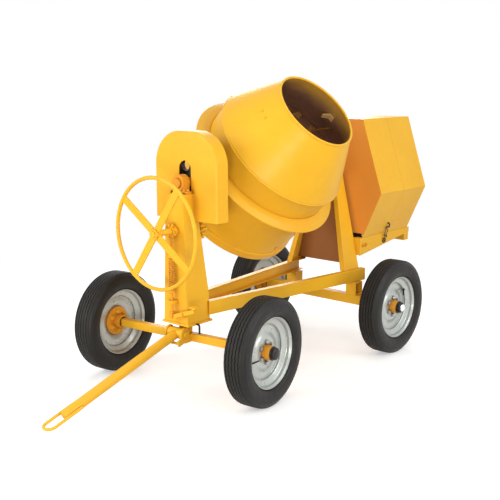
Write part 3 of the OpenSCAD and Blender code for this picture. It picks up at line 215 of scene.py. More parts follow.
def vector_math(tree, operation, take, *feeds):
    return add(tree, "ShaderNodeVectorMath", dict(enumerate(feeds)), take, operation=operation)


def ramp(tree, value, low, high, to_low=0.0, to_high=1.0):
    feeds = {"Value": value, "From Min": low, "From Max": high, "To Min": to_low, "To Max": to_high}
    return add(tree, "ShaderNodeMapRange", feeds, clamp=True)


def noise(tree, place, scale, detail=3.0, rough=0.55):
    feeds = {"Vector": place, "Scale": scale, "Detail": detail, "Roughness": rough}
    return add(tree, "ShaderNodeTexNoise", feeds, "Fac")


def number(label, value):
    return label, "NodeSocketFloat", value


def count(label, value):
    return label, "NodeSocketInt", value


PLACE = ("Place", "NodeSocketVector", None)
GEOMETRY = ("Geometry", "NodeSocketGeometry", None)
FINISHED = ("Finish", "NodeSocketMaterial", None)


def node_group(name, kind, inputs, output):
    """A node tree with named inputs and one output, its inputs' identifiers, and the sockets at its two ends."""
    tree = bpy.data.node_groups.new(name, kind)
    keys = {}
    for label, socket_kind, value in inputs:
        socket = tree.interface.new_socket(name=label, in_out="INPUT", socket_type=socket_kind)
        if value is not None:
            socket.default_value = value
        keys[label] = socket.identifier
    tree.interface.new_socket(name=output[0], in_out="OUTPUT", socket_type=output[1])
    return tree, keys, tree.nodes.new("NodeGroupInput").outputs, tree.nodes.new("NodeGroupOutput").inputs


# Camera, light and floor
def aimed(thing, at, ahead):
    thing.location = at
    thing.rotation_mode = "QUATERNION"
    thing.rotation_quaternion = ahead.to_track_quat("-Z", "Y")


def make_camera():
    data = bpy.data.cameras.new("camera")
    data.lens = CAMERA_LENS
    data.sensor_width = SENSOR
    data.sensor_fit = "HORIZONTAL"
    camera = placed("camera", data)
    level = cos(CAMERA_PITCH)
    ahead = Vector((-sin(CAMERA_HEADING) * level, cos(CAMERA_HEADING) * level, -sin(CAMERA_PITCH)))
    aimed(camera, CAMERA_AT, ahead)
    bpy.context.scene.camera = camera


def softbox(name, at, aim, size, watts, colour):
    data = bpy.data.lights.new(name, "AREA")
    data.shape = "RECTANGLE"
    data.size, data.size_y = size
    data.energy = watts
    data.color = colour
    aimed(placed(name, data), at, Vector(aim) - Vector(at))


def seen_ray(tree):
    """1 where the camera, a reflection or a glass sees the surface, and 0 for the light that it gives."""
    path = tree.nodes.new("ShaderNodeLightPath").outputs
    mirrored = math_node(tree, "MAXIMUM", path["Is Camera Ray"], path["Is Glossy Ray"])
    return math_node(tree, "MAXIMUM", mirrored, path["Is Transmission Ray"])


def mix_shader(tree, share, a, b):
    return add(tree, "ShaderNodeMixShader", {"Fac": share, 1: a, 2: b})


def blank_tree(owner):
    owner.use_nodes = True
    owner.node_tree.nodes.clear()
    return owner.node_tree


def make_studio():
    world = bpy.data.worlds.new("studio")
    bpy.context.scene.world = world
    tree = blank_tree(world)
    ambient = add(tree, "ShaderNodeBackground", {"Color": (*SKY, 1), "Strength": AMBIENT})
    backdrop = add(tree, "ShaderNodeBackground", {"Color": (*WHITE, 1), "Strength": 1.0})
    add(tree, "ShaderNodeOutputWorld", {"Surface": mix_shader(tree, seen_ray(tree), ambient, backdrop)})
    for lamp in LAMPS:
        softbox(*lamp)


def make_floor():
    """A pale floor that fades into the backdrop, and gives back only a little warm light."""
    mesh = bpy.data.meshes.new("floor")
    corners = [(x * FLOOR_SIDE, y * FLOOR_SIDE, 0) for x, y in ((-1, -1), (1, -1), (1, 1), (-1, 1))]
    mesh.from_pydata(corners, [], [(0, 1, 2, 3)])
    floor = placed("floor", mesh)
    material = bpy.data.materials.new("pale_floor")
    tree = blank_tree(material)
    ground = add(tree, "ShaderNodeBsdfDiffuse", {"Color": (*BOUNCE, 1)})
    pale = add(tree, "ShaderNodeBsdfDiffuse", {"Color": (*FLOOR, 1)})
    lift = add(tree, "ShaderNodeEmission", {"Strength": FLOOR_LIFT})
    near = add(tree, "ShaderNodeAddShader", {0: pale, 1: lift})
    far = add(tree, "ShaderNodeEmission", {"Strength": 1.0})
    reach = vector_math(tree, "LENGTH", "Value", add(tree, "ShaderNodeTexCoord", take="Object"))
    shown = mix_shader(tree, ramp(tree, reach, *FLOOR_FADE), near, far)
    add(tree, "ShaderNodeOutputMaterial", {"Surface": mix_shader(tree, seen_ray(tree), ground, shown)})
    mesh.materials.append(material)


# Shader groups that several finishes share
def shader_group(name, inputs, output):
    tree, keys, given, out = node_group(name, "ShaderNodeTree", inputs, (output, "NodeSocketFloat"))
    return tree, given, out


def ended(tree, out, value):
    tree.links.new(value, out[0])
    return tree


def make_mottle():
    """Slow drift in the depth of a coat, as rolled sheet and hand spraying leave it."""
    tree, given, out = shader_group("Coat mottle", [PLACE, number("Scale", 3.0), number("Amount", 0.4)], "Depth")
    slow = noise(tree, given["Place"], given["Scale"])
    fine = noise(tree, given["Place"], times(tree, given["Scale"], 9.0), 2.0)
    both = plus(tree, times(tree, slow, 0.75), times(tree, fine, 0.25))
    return ended(tree, out, times(tree, ramp(tree, both, 0.36, 0.66), given["Amount"]))


def make_edge_wear():
    """Where edges rub bare: the difference between the true and the rounded normal, broken up by noise."""
    inputs = [PLACE, number("Radius", 0.004), number("Amount", 0.5), number("Breakup", 38.0)]
    tree, given, out = shader_group("Edge wear", inputs, "Mask")
    rounded = add(tree, "ShaderNodeBevel", {"Radius": given["Radius"]}, samples=4)
    true = add(tree, "ShaderNodeNewGeometry", take="Normal")
    same = vector_math(tree, "DOT_PRODUCT", "Value", rounded, true)
    edge = ramp(tree, math_node(tree, "SUBTRACT", 1.0, same), 0.015, 0.16)
    broken = ramp(tree, noise(tree, given["Place"], given["Breakup"], 4.0, 0.65), 0.50, 0.62)
    return ended(tree, out, times(tree, times(tree, edge, broken), given["Amount"]))


def make_dust():
    """Dust that lies on what faces up, thicker near the ground."""
    inputs = [PLACE, number("Amount", 0.3), number("Low", 0.0), number("High", 1.2)]
    tree, given, out = shader_group("Settled dust", inputs, "Mask")
    facing = add(tree, "ShaderNodeSeparateXYZ", {0: add(tree, "ShaderNodeTexCoord", take="Normal")}, "Z")
    upward = ramp(tree, facing, 0.0, 0.9, 0.25, 1.0)
    height = add(tree, "ShaderNodeSeparateXYZ", {0: given["Place"]}, "Z")
    near_ground = ramp(tree, height, given["Low"], given["High"], 1.0, 0.15)
    patchy = ramp(tree, noise(tree, given["Place"], 7.0, 5.0, 0.7), 0.38, 0.70)
    return ended(tree, out, times(tree, times(tree, times(tree, upward, near_ground), patchy), given["Amount"]))


def make_grain():
    """Fine relief of a sprayed coat, a casting or moulded rubber."""
    inputs = [PLACE, number("Scale", 300.0), number("Waviness", 14.0)]
    tree, given, out = shader_group("Surface grain", inputs, "Height")
    fine = noise(tree, given["Place"], given["Scale"], 2.0, 0.5)
    wavy = noise(tree, given["Place"], given["Waviness"], 2.0, 0.5)
    return ended(tree, out, plus(tree, times(tree, fine, 0.35), wavy))


def make_crevice():
    """Painted shade, with some soil, where surfaces close in on each other: darker where ambient occlusion is deep."""
    tree, given, out = shader_group("Crevice painted shade", [number("Reach", 0.05), number("Amount", 0.5)], "Mask")
    open_sky = add(tree, "ShaderNodeAmbientOcclusion", {"Distance": given["Reach"]}, "AO", samples=16)
    return ended(tree, out, times(tree, ramp(tree, open_sky, 0.30, 0.85, 1.0, 0.0), given["Amount"]))


MOTTLE = make_mottle()
EDGE_WEAR = make_edge_wear()
SETTLED_DUST = make_dust()
GRAIN = make_grain()
CREVICE_SHADE = make_crevice()


# Finishes
def use(tree, group, **feeds):
    return add(tree, "ShaderNodeGroup", feeds, node_tree=group)


def blend_colour(tree, share, a, b):
    a, b = (c if isinstance(c, bpy.types.NodeSocket) else (*c, 1) for c in (a, b))
    return add(tree, "ShaderNodeMix", {0: share, 6: a, 7: b}, 2, data_type="RGBA")


def finish_material(name):
    material = bpy.data.materials.new(name)
    material.use_nodes = True
    tree = material.node_tree
    return material, tree, tree.nodes["Principled BSDF"], add(tree, "ShaderNodeTexCoord", take="Object")


def relief(tree, height, strength, distance):
    return add(tree, "ShaderNodeBump", {"Height": height, "Strength": strength, "Distance": distance})


def coated(name, colours, roughness=0.42, coat=0.04, wear=0.35, worn=PRIMER, dust=0.04, crevice_shade=BLACK[0], crevice_shade_amount=0.5,
           metallic=0.0):
    """Enamel over sheet or castings: drift in the coat, a little orange peel, rubbed edges, painted shade with some
    soil in crevices, and dust.
    """
    material, tree, shader, place = finish_material(name)
    depth = use(tree, MOTTLE, Place=place, Scale=2.6, Amount=0.4)
    rubbed = use(tree, EDGE_WEAR, Place=place, Radius=0.004, Amount=wear)
    dusty = use(tree, SETTLED_DUST, Place=place, Amount=dust)
    # Painted shade: the coat is darkened towards a shade colour where ambient occlusion is deep
    crevice_shade_mask = use(tree, CREVICE_SHADE, Reach=0.06, Amount=crevice_shade_amount)
    colour = blend_colour(tree, crevice_shade_mask, blend_colour(tree, depth, *colours), crevice_shade)
    colour = blend_colour(tree, dusty, blend_colour(tree, rubbed, colour, worn), DUST)
    dull = plus(tree, times(tree, rubbed, 0.25), times(tree, dusty, 0.5))
    fine = ramp(tree, noise(tree, place, 22.0), 0.3, 0.7, roughness - 0.05, roughness + 0.06)
    grain = use(tree, GRAIN, Place=place, Scale=420.0, Waviness=60.0)
    feed(tree, shader, {"Base Color": colour, "Roughness": plus(tree, fine, dull), "Metallic": metallic,
                        "Coat Weight": coat, "Coat Roughness": 0.2, "Specular IOR Level": 0.25,
                        "Normal": relief(tree, grain, 0.10, 0.0006)})
    return material


def bare_metal(name, colours, roughness, grain_scale, stretch=(1, 1, 1), strength=0.15):
    """Turned, drawn or cast metal, with its grain stretched along one axis."""
    material, tree, shader, place = finish_material(name)
    drawn = add(tree, "ShaderNodeMapping", {"Vector": place, "Scale": stretch})
    depth = use(tree, MOTTLE, Place=place, Scale=9.0, Amount=0.8)
    rubbed = use(tree, EDGE_WEAR, Place=place, Radius=0.003, Amount=0.6)
    grain = use(tree, GRAIN, Place=drawn, Scale=grain_scale, Waviness=30.0)
    feed(tree, shader, {"Base Color": blend_colour(tree, rubbed, blend_colour(tree, depth, *colours), STEEL[0]),
                        "Roughness": ramp(tree, grain, 0.4, 0.95, roughness - 0.08, roughness + 0.12),
                        "Metallic": 1.0, "Normal": relief(tree, grain, strength, 0.0008)})
    return material


def moulded_rubber(name, colours, roughness, dust):
    material, tree, shader, place = finish_material(name)
    depth = use(tree, MOTTLE, Place=place, Scale=5.0, Amount=0.9)
    dusty = use(tree, SETTLED_DUST, Place=place, Amount=dust, High=0.7)
    fine = ramp(tree, noise(tree, place, 30.0), 0.3, 0.7, roughness - 0.06, roughness + 0.08)
    grain = use(tree, GRAIN, Place=place, Scale=520.0, Waviness=90.0)
    feed(tree, shader, {"Base Color": blend_colour(tree, dusty, blend_colour(tree, depth, *colours), DUST),
                        "Roughness": plus(tree, fine, times(tree, dusty, 0.4)), "Specular IOR Level": 0.26,
                        "Normal": relief(tree, grain, 0.22, 0.0006)})
    return material


def drum_lining(name):
    """The inside of the drum: paint at the lip, then darker further in from cement stain and painted shade, and paler
    again deepest in as painted light.
    """
    material, tree, shader, place = finish_material(name)
    from_centre = vector_math(tree, "SUBTRACT", "Vector", place, point_at("drum_spin"))
    along = vector_math(tree, "DOT_PRODUCT", "Value", from_centre, axis_of("drum_spin"))
    depth_in = plus(tree, along, times(tree, noise(tree, place, 9.0, 5.0, 0.7), 0.16))
    stain_and_shade = blend_colour(tree, use(tree, MOTTLE, Place=place, Scale=6.0, Amount=1.0), *STAIN_AND_SHADE)
    # Painted light: deepest in, the lining turns pale again
    stain_and_shade = blend_colour(tree, ramp(tree, depth_in, 0.15, 0.50), LINING_PAINTED_LIGHT, stain_and_shade)
    splash = ramp(tree, noise(tree, place, 16.0, 6.0, 0.75), 0.60, 0.70, 0.0, 0.35)
    lip = ramp(tree, depth_in, MOUTH_H - 0.11, MOUTH_H + 0.12)
    grain = use(tree, GRAIN, Place=place, Scale=160.0, Waviness=40.0)
    feed(tree, shader, {"Base Color": blend_colour(tree, lip, blend_colour(tree, splash, stain_and_shade, CEMENT), YELLOW[0]),
                        "Roughness": ramp(tree, noise(tree, place, 25.0), 0.3, 0.7, 0.55, 0.75),
                        "Normal": relief(tree, grain, 0.4, 0.0015)})
    return material


# The drum's own frame: Z up its axis from the trunnions
DRUM = axis_frame(point_at("drum_spin"), axis_of("drum_spin"), axis_of("drum_spin").cross(Vector((0, 1, 0))) * -1)


def in_drum(node):
    """Radii and heights of a node's corners in the drum's own frame."""
    back = DRUM.inverted()
    places = [back @ v.co for v in NODES[node].data.vertices]
    return [hypot(p.x, p.y) for p in places], [p.z for p in places]


CONE_RADII, CONE_HEIGHTS = in_drum("drum_cone")
MOUTH_H = max(CONE_HEIGHTS)

FINISH = {
    "yellow_paint": coated("yellow_enamel", YELLOW, crevice_shade=YELLOW_CREVICE_SHADE),
    # Painted shade: the wheels' dishes and wells are darkened strongly in their crevices
    "rim_paint": coated("wheel_grey", WHEEL_GREY, 0.30, 0.1, 0.0, STEEL[1], 0.05, WHEEL_CREVICE_SHADE, 0.95, 0.45),
    "casting": coated("orange_enamel", ORANGE, crevice_shade=ORANGE_CREVICE_SHADE),
    "front_panel_painted_shade": coated("panel_painted_shade", PANEL_PAINTED_SHADE, crevice_shade=YELLOW_CREVICE_SHADE),
    "web_painted_shade": coated("web_painted_shade", WEB_PAINTED_SHADE, 0.6),
    # Painted light: the paddle brackets are paler than the yellow coat
    "bracket": coated("bracket_painted_light", BRACKET_PAINTED_LIGHT, 0.55, crevice_shade_amount=0.2),
    "plug": bare_metal("plug_painted_highlight", PLUG_HIGHLIGHT, 0.22, 240.0),
    "black_paint": coated("satin_black", BLACK, 0.34, 0.1, 0.5, STEEL[1], 0.06),
    "engine_paint": coated("engine_enamel", ENGINE_GREEN, 0.42, 0.1, 0.5, STEEL[1], 0.25),
    "machined_steel": bare_metal("turned_steel", STEEL, 0.34, 240.0, (1, 8, 1)),
    "cast_iron": bare_metal("greased_iron", IRON, 0.5, 130.0, strength=0.35),
    "tyre_rubber": moulded_rubber("tyre_wall", RUBBER, 0.46, 0.05),
    "belt_rubber": moulded_rubber("belt_rubber", RUBBER, 0.6, 0.05),
}
PAINT = FINISH["yellow_paint"]
TREAD = moulded_rubber("tyre_tread", RUBBER[::-1], 0.62, 0.10)
LINING = drum_lining("drum_lining")

for node, thing in NODES.items():
    thing.data.materials.clear()
    thing.data.materials.append(FINISH[SLOT_OF[node]])

# Nodes that were painted over, or are darker than their material
REPAINTED = {"pinion_shaft": "yellow_paint", "drawbar_pin": "yellow_paint", "trunnion_bearings": "casting",
             "lock_rod": "casting", "latch_bail": "cast_iron"}
# Where the stand's web, which is painted in shade, starts, and where a hub's bare nuts start: out from its axle, and
# along it
WEB_FRONT = 0.975
NUTS_R = 0.050
NUTS_OUT = 0.0122


def finish_of(node, place, facing):
    """The finish at a place on a node, such as the bare nuts of a painted hub."""
    forward = facing.y < -0.9
    if node.startswith("hub_"):
        radius, along = off_axis("wheel_" + node[4:] + "_roll", place)
        outside = along if node.endswith("right") else -along
        return FINISH["machined_steel" if radius > NUTS_R and outside > NUTS_OUT else "casting"]
    if node == "trunnions" and place.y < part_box("column")[1].y:
        return FINISH["casting"]
    # Painted shade: the web's forward faces take the dark brown shaded coat
    if node == "rear_stand" and forward and place.y > WEB_FRONT:
        return FINISH["web_painted_shade"]
    # Painted shade: the canopy's forward faces take the oranger shaded coat
    if node == "canopy_front" and forward:
        return FINISH["front_panel_painted_shade"]
    return FINISH[REPAINTED.get(node, SLOT_OF[node])]


# Mesh helpers
def piece(name, mesh, body, slot, *nodes):
    """A finished mesh as a piece that rides on a body, and may stand for nodes of the frame."""
    thing = placed(name, mesh)
    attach(thing, body)
    if nodes:
        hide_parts(*nodes)
    return thing


def baked(thing):
    """The mesh of an object with its modifiers applied; the object itself goes."""
    graph = bpy.context.evaluated_depsgraph_get()
    mesh = bpy.data.meshes.new_from_object(thing.evaluated_get(graph), depsgraph=graph)
    first = thing.data
    bpy.data.objects.remove(thing)
    bpy.data.batch_remove([first])
    return mesh


def dressed(mesh, *finishes):
    for finish in finishes:
        mesh.materials.append(finish)
    return mesh


def smoothed(mesh, angle=32):
    mesh.shade_smooth()
    mesh.set_sharp_from_angle(angle=radians(angle))
    return mesh


def mesh_from(bench, name):
    mesh = bpy.data.meshes.new(name)
    bench.to_mesh(mesh)
    bench.free()
    return mesh


def bench_of(mesh):
    """A mesh on the bench, with its double corners merged."""
    bench = bmesh.new()
    bench.from_mesh(mesh)
    bmesh.ops.remove_doubles(bench, verts=bench.verts, dist=MERGE)
    return bench


def outward(mesh):
    bench = bench_of(mesh)
    bmesh.ops.recalc_face_normals(bench, faces=bench.faces)
    bench.to_mesh(mesh)
    bench.free()


def prism(corners, along):
    """A flat face on the bench, drawn out along a vector."""
    bench = bmesh.new()
    face = bench.faces.new([bench.verts.new(c) for c in corners])
    drawn = bmesh.ops.extrude_face_region(bench, geom=[face])["geom"]
    bmesh.ops.translate(bench, verts=[v for v in drawn if isinstance(v, bmesh.types.BMVert)], vec=along)
    bmesh.ops.recalc_face_normals(bench, faces=bench.faces)
    return bench


def eased(mesh, width, keep_sharp=False, **settings):
    """A mesh with its edges broken, and its flats kept flat."""
    mesh.shade_smooth()
    thing = placed(mesh.name + "_bench", mesh)
    edges = thing.modifiers.new("edges", "BEVEL")
    for name, value in dict(width=width, segments=2, limit_method="ANGLE", **settings).items():
        setattr(edges, name, value)
    thing.modifiers.new("flats", "WEIGHTED_NORMAL").keep_sharp = keep_sharp
    return baked(thing)


# Journals that turn in plain bores, with their radii; they are drawn a hair slimmer than the bore
JOURNALS = {"trunnions": ("drum_tilt", (0.030, 0.045)), "crankshaft": ("crank_spin", (0.025,))}
SLIMMER = 0.0006


def slimmed(node, bench):
    joint, radii = JOURNALS[node]
    for vertex in bench.verts:
        radius, along = off_axis(joint, vertex.co)
        if min(abs(radius - r) for r in radii) < SLIMMER:
            middle = point_at(joint) + axis_of(joint) * along
            vertex.co = middle + (vertex.co - middle) * (1 - SLIMMER / radius)


def softened(node, width):
    """A node's own shape with its edges broken, as ground, pressed or painted edges are."""
    bench = bench_of(NODES[node].data)
    bmesh.ops.dissolve_limit(bench, angle_limit=FLAT, verts=bench.verts, edges=bench.edges)
    if node in JOURNALS:
        slimmed(node, bench)
    made = eased(mesh_from(bench, node), width, True, angle_limit=SHARP, use_clamp_overlap=False)
    finishes = [finish_of(node, face.center, face.normal) for face in made.polygons]
    used = list(dict.fromkeys(finishes))
    dressed(made, *used)
    for face, finish in zip(made.polygons, finishes):
        face.material_index = used.index(finish)
    piece(node + "_dressed", made, BODY_OF[node], SLOT_OF[node], node)


def filleted(points, radius, steps=4, closed=True):
    """A line of points with each corner drawn into a small bow."""
    made = []
    last = len(points) - 1
    for i, corner in enumerate(points):
        corner = Vector(corner)
        if not closed and i in (0, last):
            made.append(corner)
            continue
        before, after = Vector(points[i - 1]) - corner, Vector(points[(i + 1) % len(points)]) - corner
        reach = min(radius, 0.45 * before.length, 0.45 * after.length)
        start, end = corner + before.normalized() * reach, corner + after.normalized() * reach
        for k in range(steps + 1):
            t = k / steps
            made.append(start * (1 - t) ** 2 + corner * (2 * t * (1 - t)) + end * t ** 2)
    return made


def oval(radius, height, wide, tall, steps):
    """The section of a ring round an axis, as (radius, height)."""
    turns = [TURN * k / steps for k in range(steps)]
    return [(radius + wide * cos(a), height + tall * sin(a)) for a in turns]


def shell(name, points, faces, marks, finishes, angle=32):
    """A mesh with its faces turned out, whose marks say which of the finishes each face has."""
    mesh = bpy.data.meshes.new(name)
    mesh.from_pydata(points, [], faces)
    for face, mark in zip(mesh.polygons, marks):
        face.material_index = mark
    outward(mesh)
    return dressed(smoothed(mesh, angle), *finishes)


def turned(name, profile, frame_at, *finishes, segments=144, closed=True, finish_at=lambda band: 0):
    """A mesh turned about a frame's Z from points (radius, height); finish_at gives the finish of each band."""
    points, rings = [], []
    for r, h in profile:
        around = segments if r > 1e-6 else 1
        rings.append(range(len(points), len(points) + around))
        for k in range(around):
            a = TURN * k / segments
            points.append(frame_at @ round_axis(r, a, h))
    faces, marks = [], []
    following = rings[1:] + rings[:1] if closed else rings[1:]
    for band, (low, high) in enumerate(zip(rings, following)):
        for k in range(segments):
            n = (k + 1) % segments
            corners = [low[k % len(low)], low[n % len(low)], high[n % len(high)], high[k % len(high)]]
            corners = list(dict.fromkeys(corners))
            if len(corners) > 2:
                faces.append(corners)
                marks.append(finish_at(band))
    return shell(name, points, faces, marks, finishes)


def joined(name, meshes):
    """One mesh of several, with their materials kept apart."""
    whole = bmesh.new()
    finishes = []
    for mesh in meshes:
        start = len(whole.faces)
        whole.from_mesh(mesh)
        whole.faces.ensure_lookup_table()
        for face in whole.faces[start:]:
            face.material_index += len(finishes)
        finishes += list(mesh.materials)
    made = dressed(mesh_from(whole, name), *finishes)
    for mesh in meshes:
        bpy.data.meshes.remove(mesh)
    return made


def swept_rod(name, points, radius, finish, bend=0.02):
    """A round rod along a line of points, with its corners bent and its ends closed."""
    path = bpy.data.curves.new(name, "CURVE")
    path.dimensions = "3D"
    path.bevel_depth = radius
    path.bevel_resolution = 4
    path.use_fill_caps = True
    line = filleted(points, bend, 6, closed=False)
    spline = path.splines.new("POLY")
    spline.points.add(len(line) - 1)
    for at, p in zip(spline.points, line):
        at.co = (*p, 1)
    mesh = baked(placed(name, path))
    outward(mesh)
    return dressed(smoothed(mesh, 40), finish)


def plate(name, outline, thickness, frame_at, finish, edge=0.0012):
    """A flat plate cut to an outline in a frame's X and Y, as thick along Z, with broken edges."""
    flat = prism([(*p, -thickness / 2) for p in outline], (0, 0, thickness))
    made = eased(mesh_from(flat, name), edge)
    made.transform(frame_at)
    return dressed(made, finish)


# Geometry trees for what repeats
def geometry_tree(name, *inputs):
    return node_group(name, "GeometryNodeTree", [GEOMETRY, *inputs, FINISHED], GEOMETRY[:2])


def end_tree(tree, given, out, geometry):
    real = add(tree, "GeometryNodeRealizeInstances", {"Geometry": geometry})
    return ended(tree, out, add(tree, "GeometryNodeSetMaterial", {"Geometry": real, "Material": given["Finish"]}))


def lifted(tree, geometry, height):
    up = add(tree, "ShaderNodeCombineXYZ", {"Z": height})
    return add(tree, "GeometryNodeTransform", {"Geometry": geometry, "Translation": up})


def copies(tree, points, shape, **turn_or_size):
    feeds = {"Points": points, "Instance": shape, **turn_or_size}
    return add(tree, "GeometryNodeInstanceOnPoints", feeds)


def on_points(tree, given, shape):
    """Copies of a shape on the given points, with its Z along each point's aim."""
    aim = add(tree, "GeometryNodeInputNamedAttribute", {"Name": "aim"}, "Attribute", data_type="FLOAT_VECTOR")
    turn = add(tree, "FunctionNodeAlignRotationToVector", {"Vector": aim}, axis="Z")
    return copies(tree, given["Geometry"], shape, Rotation=turn)


def hex_bolt_tree():
    """A washer, a hexagon head with its corners taken off, and the end of the bolt."""
    tree, keys, given, out = geometry_tree("Hex bolts", number("Head", 0.012), number("Height", 0.008))
    wide, tall = given["Head"], given["Height"]

    def disc(corners, radius, depth):
        return add(tree, "GeometryNodeMeshCylinder", {"Vertices": corners, "Radius": radius, "Depth": depth})

    washer = disc(24, times(tree, wide, 1.28), times(tree, tall, 0.28))
    head = lifted(tree, disc(6, wide, tall), times(tree, tall, 0.5))
    crown_feeds = {"Vertices": 6, "Radius Bottom": wide, "Radius Top": times(tree, wide, 0.84),
                   "Depth": times(tree, tall, 0.2)}
    crown = lifted(tree, add(tree, "GeometryNodeMeshCone", crown_feeds), tall)
    end = lifted(tree, disc(16, times(tree, wide, 0.5), tall), times(tree, tall, 0.9))
    join = tree.nodes.new("GeometryNodeJoinGeometry")
    for shape in (washer, head, crown, end):
        tree.links.new(shape, join.inputs[0])
    return end_tree(tree, given, out, on_points(tree, given, join.outputs[0])), keys


def rivet_tree():
    """Low round heads."""
    tree, keys, given, out = geometry_tree("Rivets", number("Head", 0.006))
    ball = add(tree, "GeometryNodeMeshUVSphere", {"Segments": 16, "Rings": 8, "Radius": given["Head"]})
    low = add(tree, "GeometryNodeTransform", {"Geometry": ball, "Scale": (1, 1, 0.55)})
    return end_tree(tree, given, out, on_points(tree, given, low)), keys


def weld_tree():
    """A run of overlapping beads along a line, each a little different in size."""
    tree, keys, given, out = geometry_tree("Weld bead", number("Step", 0.006), number("Bead", 0.005), count("Seed", 7))
    line = add(tree, "GeometryNodeMeshToCurve", {"Mesh": given["Geometry"]})
    run = add(tree, "GeometryNodeResampleCurve", {"Curve": line, "Length": given["Step"]}, mode="LENGTH")
    bead = add(tree, "GeometryNodeMeshIcoSphere", {"Radius": given["Bead"], "Subdivisions": 2})
    size = add(tree, "FunctionNodeRandomValue", {"Seed": given["Seed"], 2: 0.85, 3: 1.12}, 1, data_type="FLOAT")
    return end_tree(tree, given, out, copies(tree, run, bead, Scale=size)), keys


def tooth_tree():
    """Tapered teeth round a ring, pointing down its axis."""
    tree, keys, given, out = geometry_tree(
        "Crown teeth", count("Teeth", 104), number("Ring", 0.5), number("Width", 0.02), number("Root", 0.01),
        number("Tip", 0.005), number("Depth", 0.02), number("Height", 0.06))
    ring = add(tree, "GeometryNodeMeshCircle", {"Vertices": given["Teeth"], "Radius": given["Ring"]})
    root = times(tree, given["Root"], 2.0)
    size = add(tree, "ShaderNodeCombineXYZ", {"X": given["Width"], "Y": root, "Z": given["Depth"]})
    block = add(tree, "GeometryNodeMeshCube", {"Size": size})
    place = add(tree, "ShaderNodeSeparateXYZ", {0: add(tree, "GeometryNodeInputPosition")}).node.outputs
    rise = plus(tree, math_node(tree, "DIVIDE", place["Z"], given["Depth"]), 0.5)
    slim = math_node(tree, "DIVIDE", given["Tip"], given["Root"])
    narrow = add(tree, "ShaderNodeMapRange", {"Value": rise, "To Min": slim, "To Max": 1.0})
    across = times(tree, place["Y"], narrow)
    tapered = add(tree, "ShaderNodeCombineXYZ", {"X": place["X"], "Y": across, "Z": place["Z"]})
    tooth = add(tree, "GeometryNodeSetPosition", {"Geometry": block, "Position": tapered})
    turn = add(tree, "FunctionNodeAlignRotationToVector", {"Vector": add(tree, "GeometryNodeInputPosition")},
               axis="X", pivot_axis="Z")
    middle = plus(tree, given["Height"], times(tree, given["Depth"], 0.5))
    return end_tree(tree, given, out, lifted(tree, copies(tree, ring, tooth, Rotation=turn), middle)), keys


def coil_tree():
    """A wire wound to an even pitch."""
    tree, keys, given, out = geometry_tree("Wound spring", number("Radius", 0.0165), number("Wire", 0.0025),
                                           number("Length", 0.2), number("Turns", 14.0))
    helix = add(tree, "GeometryNodeCurveSpiral",
                {"Resolution": 40, "Rotations": given["Turns"], "Start Radius": given["Radius"],
                 "End Radius": given["Radius"], "Height": given["Length"]})
    wire = add(tree, "GeometryNodeCurvePrimitiveCircle", {"Resolution": 12, "Radius": given["Wire"]})
    tube = add(tree, "GeometryNodeCurveToMesh", {"Curve": helix, "Profile Curve": wire, "Fill Caps": True})
    return end_tree(tree, given, out, add(tree, "GeometryNodeSetShadeSmooth", {"Geometry": tube})), keys


def grown(name, tree_and_keys, points, aims=(), edges=(), **sizes):
    """The plain mesh that a geometry tree makes on some points."""
    tree, keys = tree_and_keys
    seeds = bpy.data.meshes.new(name + "_points")
    seeds.from_pydata([tuple(p) for p in points], list(edges), [])
    if aims:
        aim = seeds.attributes.new("aim", "FLOAT_VECTOR", "POINT")
        for slot, direction in zip(aim.data, aims):
            slot.vector = direction
    thing = placed(name + "_bench", seeds)
    growth = thing.modifiers.new("growth", "NODES")
    growth.node_group = tree
    for label, value in sizes.items():
        growth[keys[label.capitalize()]] = value
    return baked(thing)


def grown_piece(name, tree_and_keys, body, points, aims=(), edges=(), finish=PAINT, **sizes):
    """A painted piece of what a geometry tree makes, such as bolt heads."""
    piece(name, grown(name, tree_and_keys, points, aims, edges, finish=finish, **sizes), body, "yellow_paint")


BOLTS = hex_bolt_tree()
RIVETS = rivet_tree()
WELDS = weld_tree()
TEETH = tooth_tree()
COIL = coil_tree()

# Steelwork that keeps its own shape, with the width of its broken edges
EDGES = {
    "chassis_rails": 0.0025, "column": 0.0028, "column_base": 0.0022, "kingpin": 0.001, "rear_stand": 0.0024,
    "trunnion_bearings": 0.003, "rear_axle": 0.005, "axle_hangers": 0.0022, "shaft_bearings": 0.002,
    "rod_guides": 0.0018, "engine_bed": 0.0022, "engine": 0.003, "fuel_tank": 0.006, "silencer": 0.004,
    "canopy_front": 0.0016, "canopy_rear": 0.0016, "front_axle": 0.005, "drawbar_pin": 0.0015, "drawbar": 0.002,
    "drawbar_eye": 0.001, "pinion_shaft": 0.001, "lock_disc": 0.001, "pedal": 0.0012,
    "lock_rod": 0.001, "yoke": 0.004, "trunnions": 0.001, "tilt_gear": 0.0012, "drum_bearing": 0.003,
    "mixing_blades": 0.002, "drum_shaft": 0.0015, "drive_shaft": 0.001, "drive_pinion": 0.001,
    "drive_pulley": 0.0015, "crankshaft": 0.0015, "latch_bail": 0.0004, "drive_belts": 0.0008,
}
EDGES.update({node: 0.0012 for node in NODES if node.startswith("hub_")})

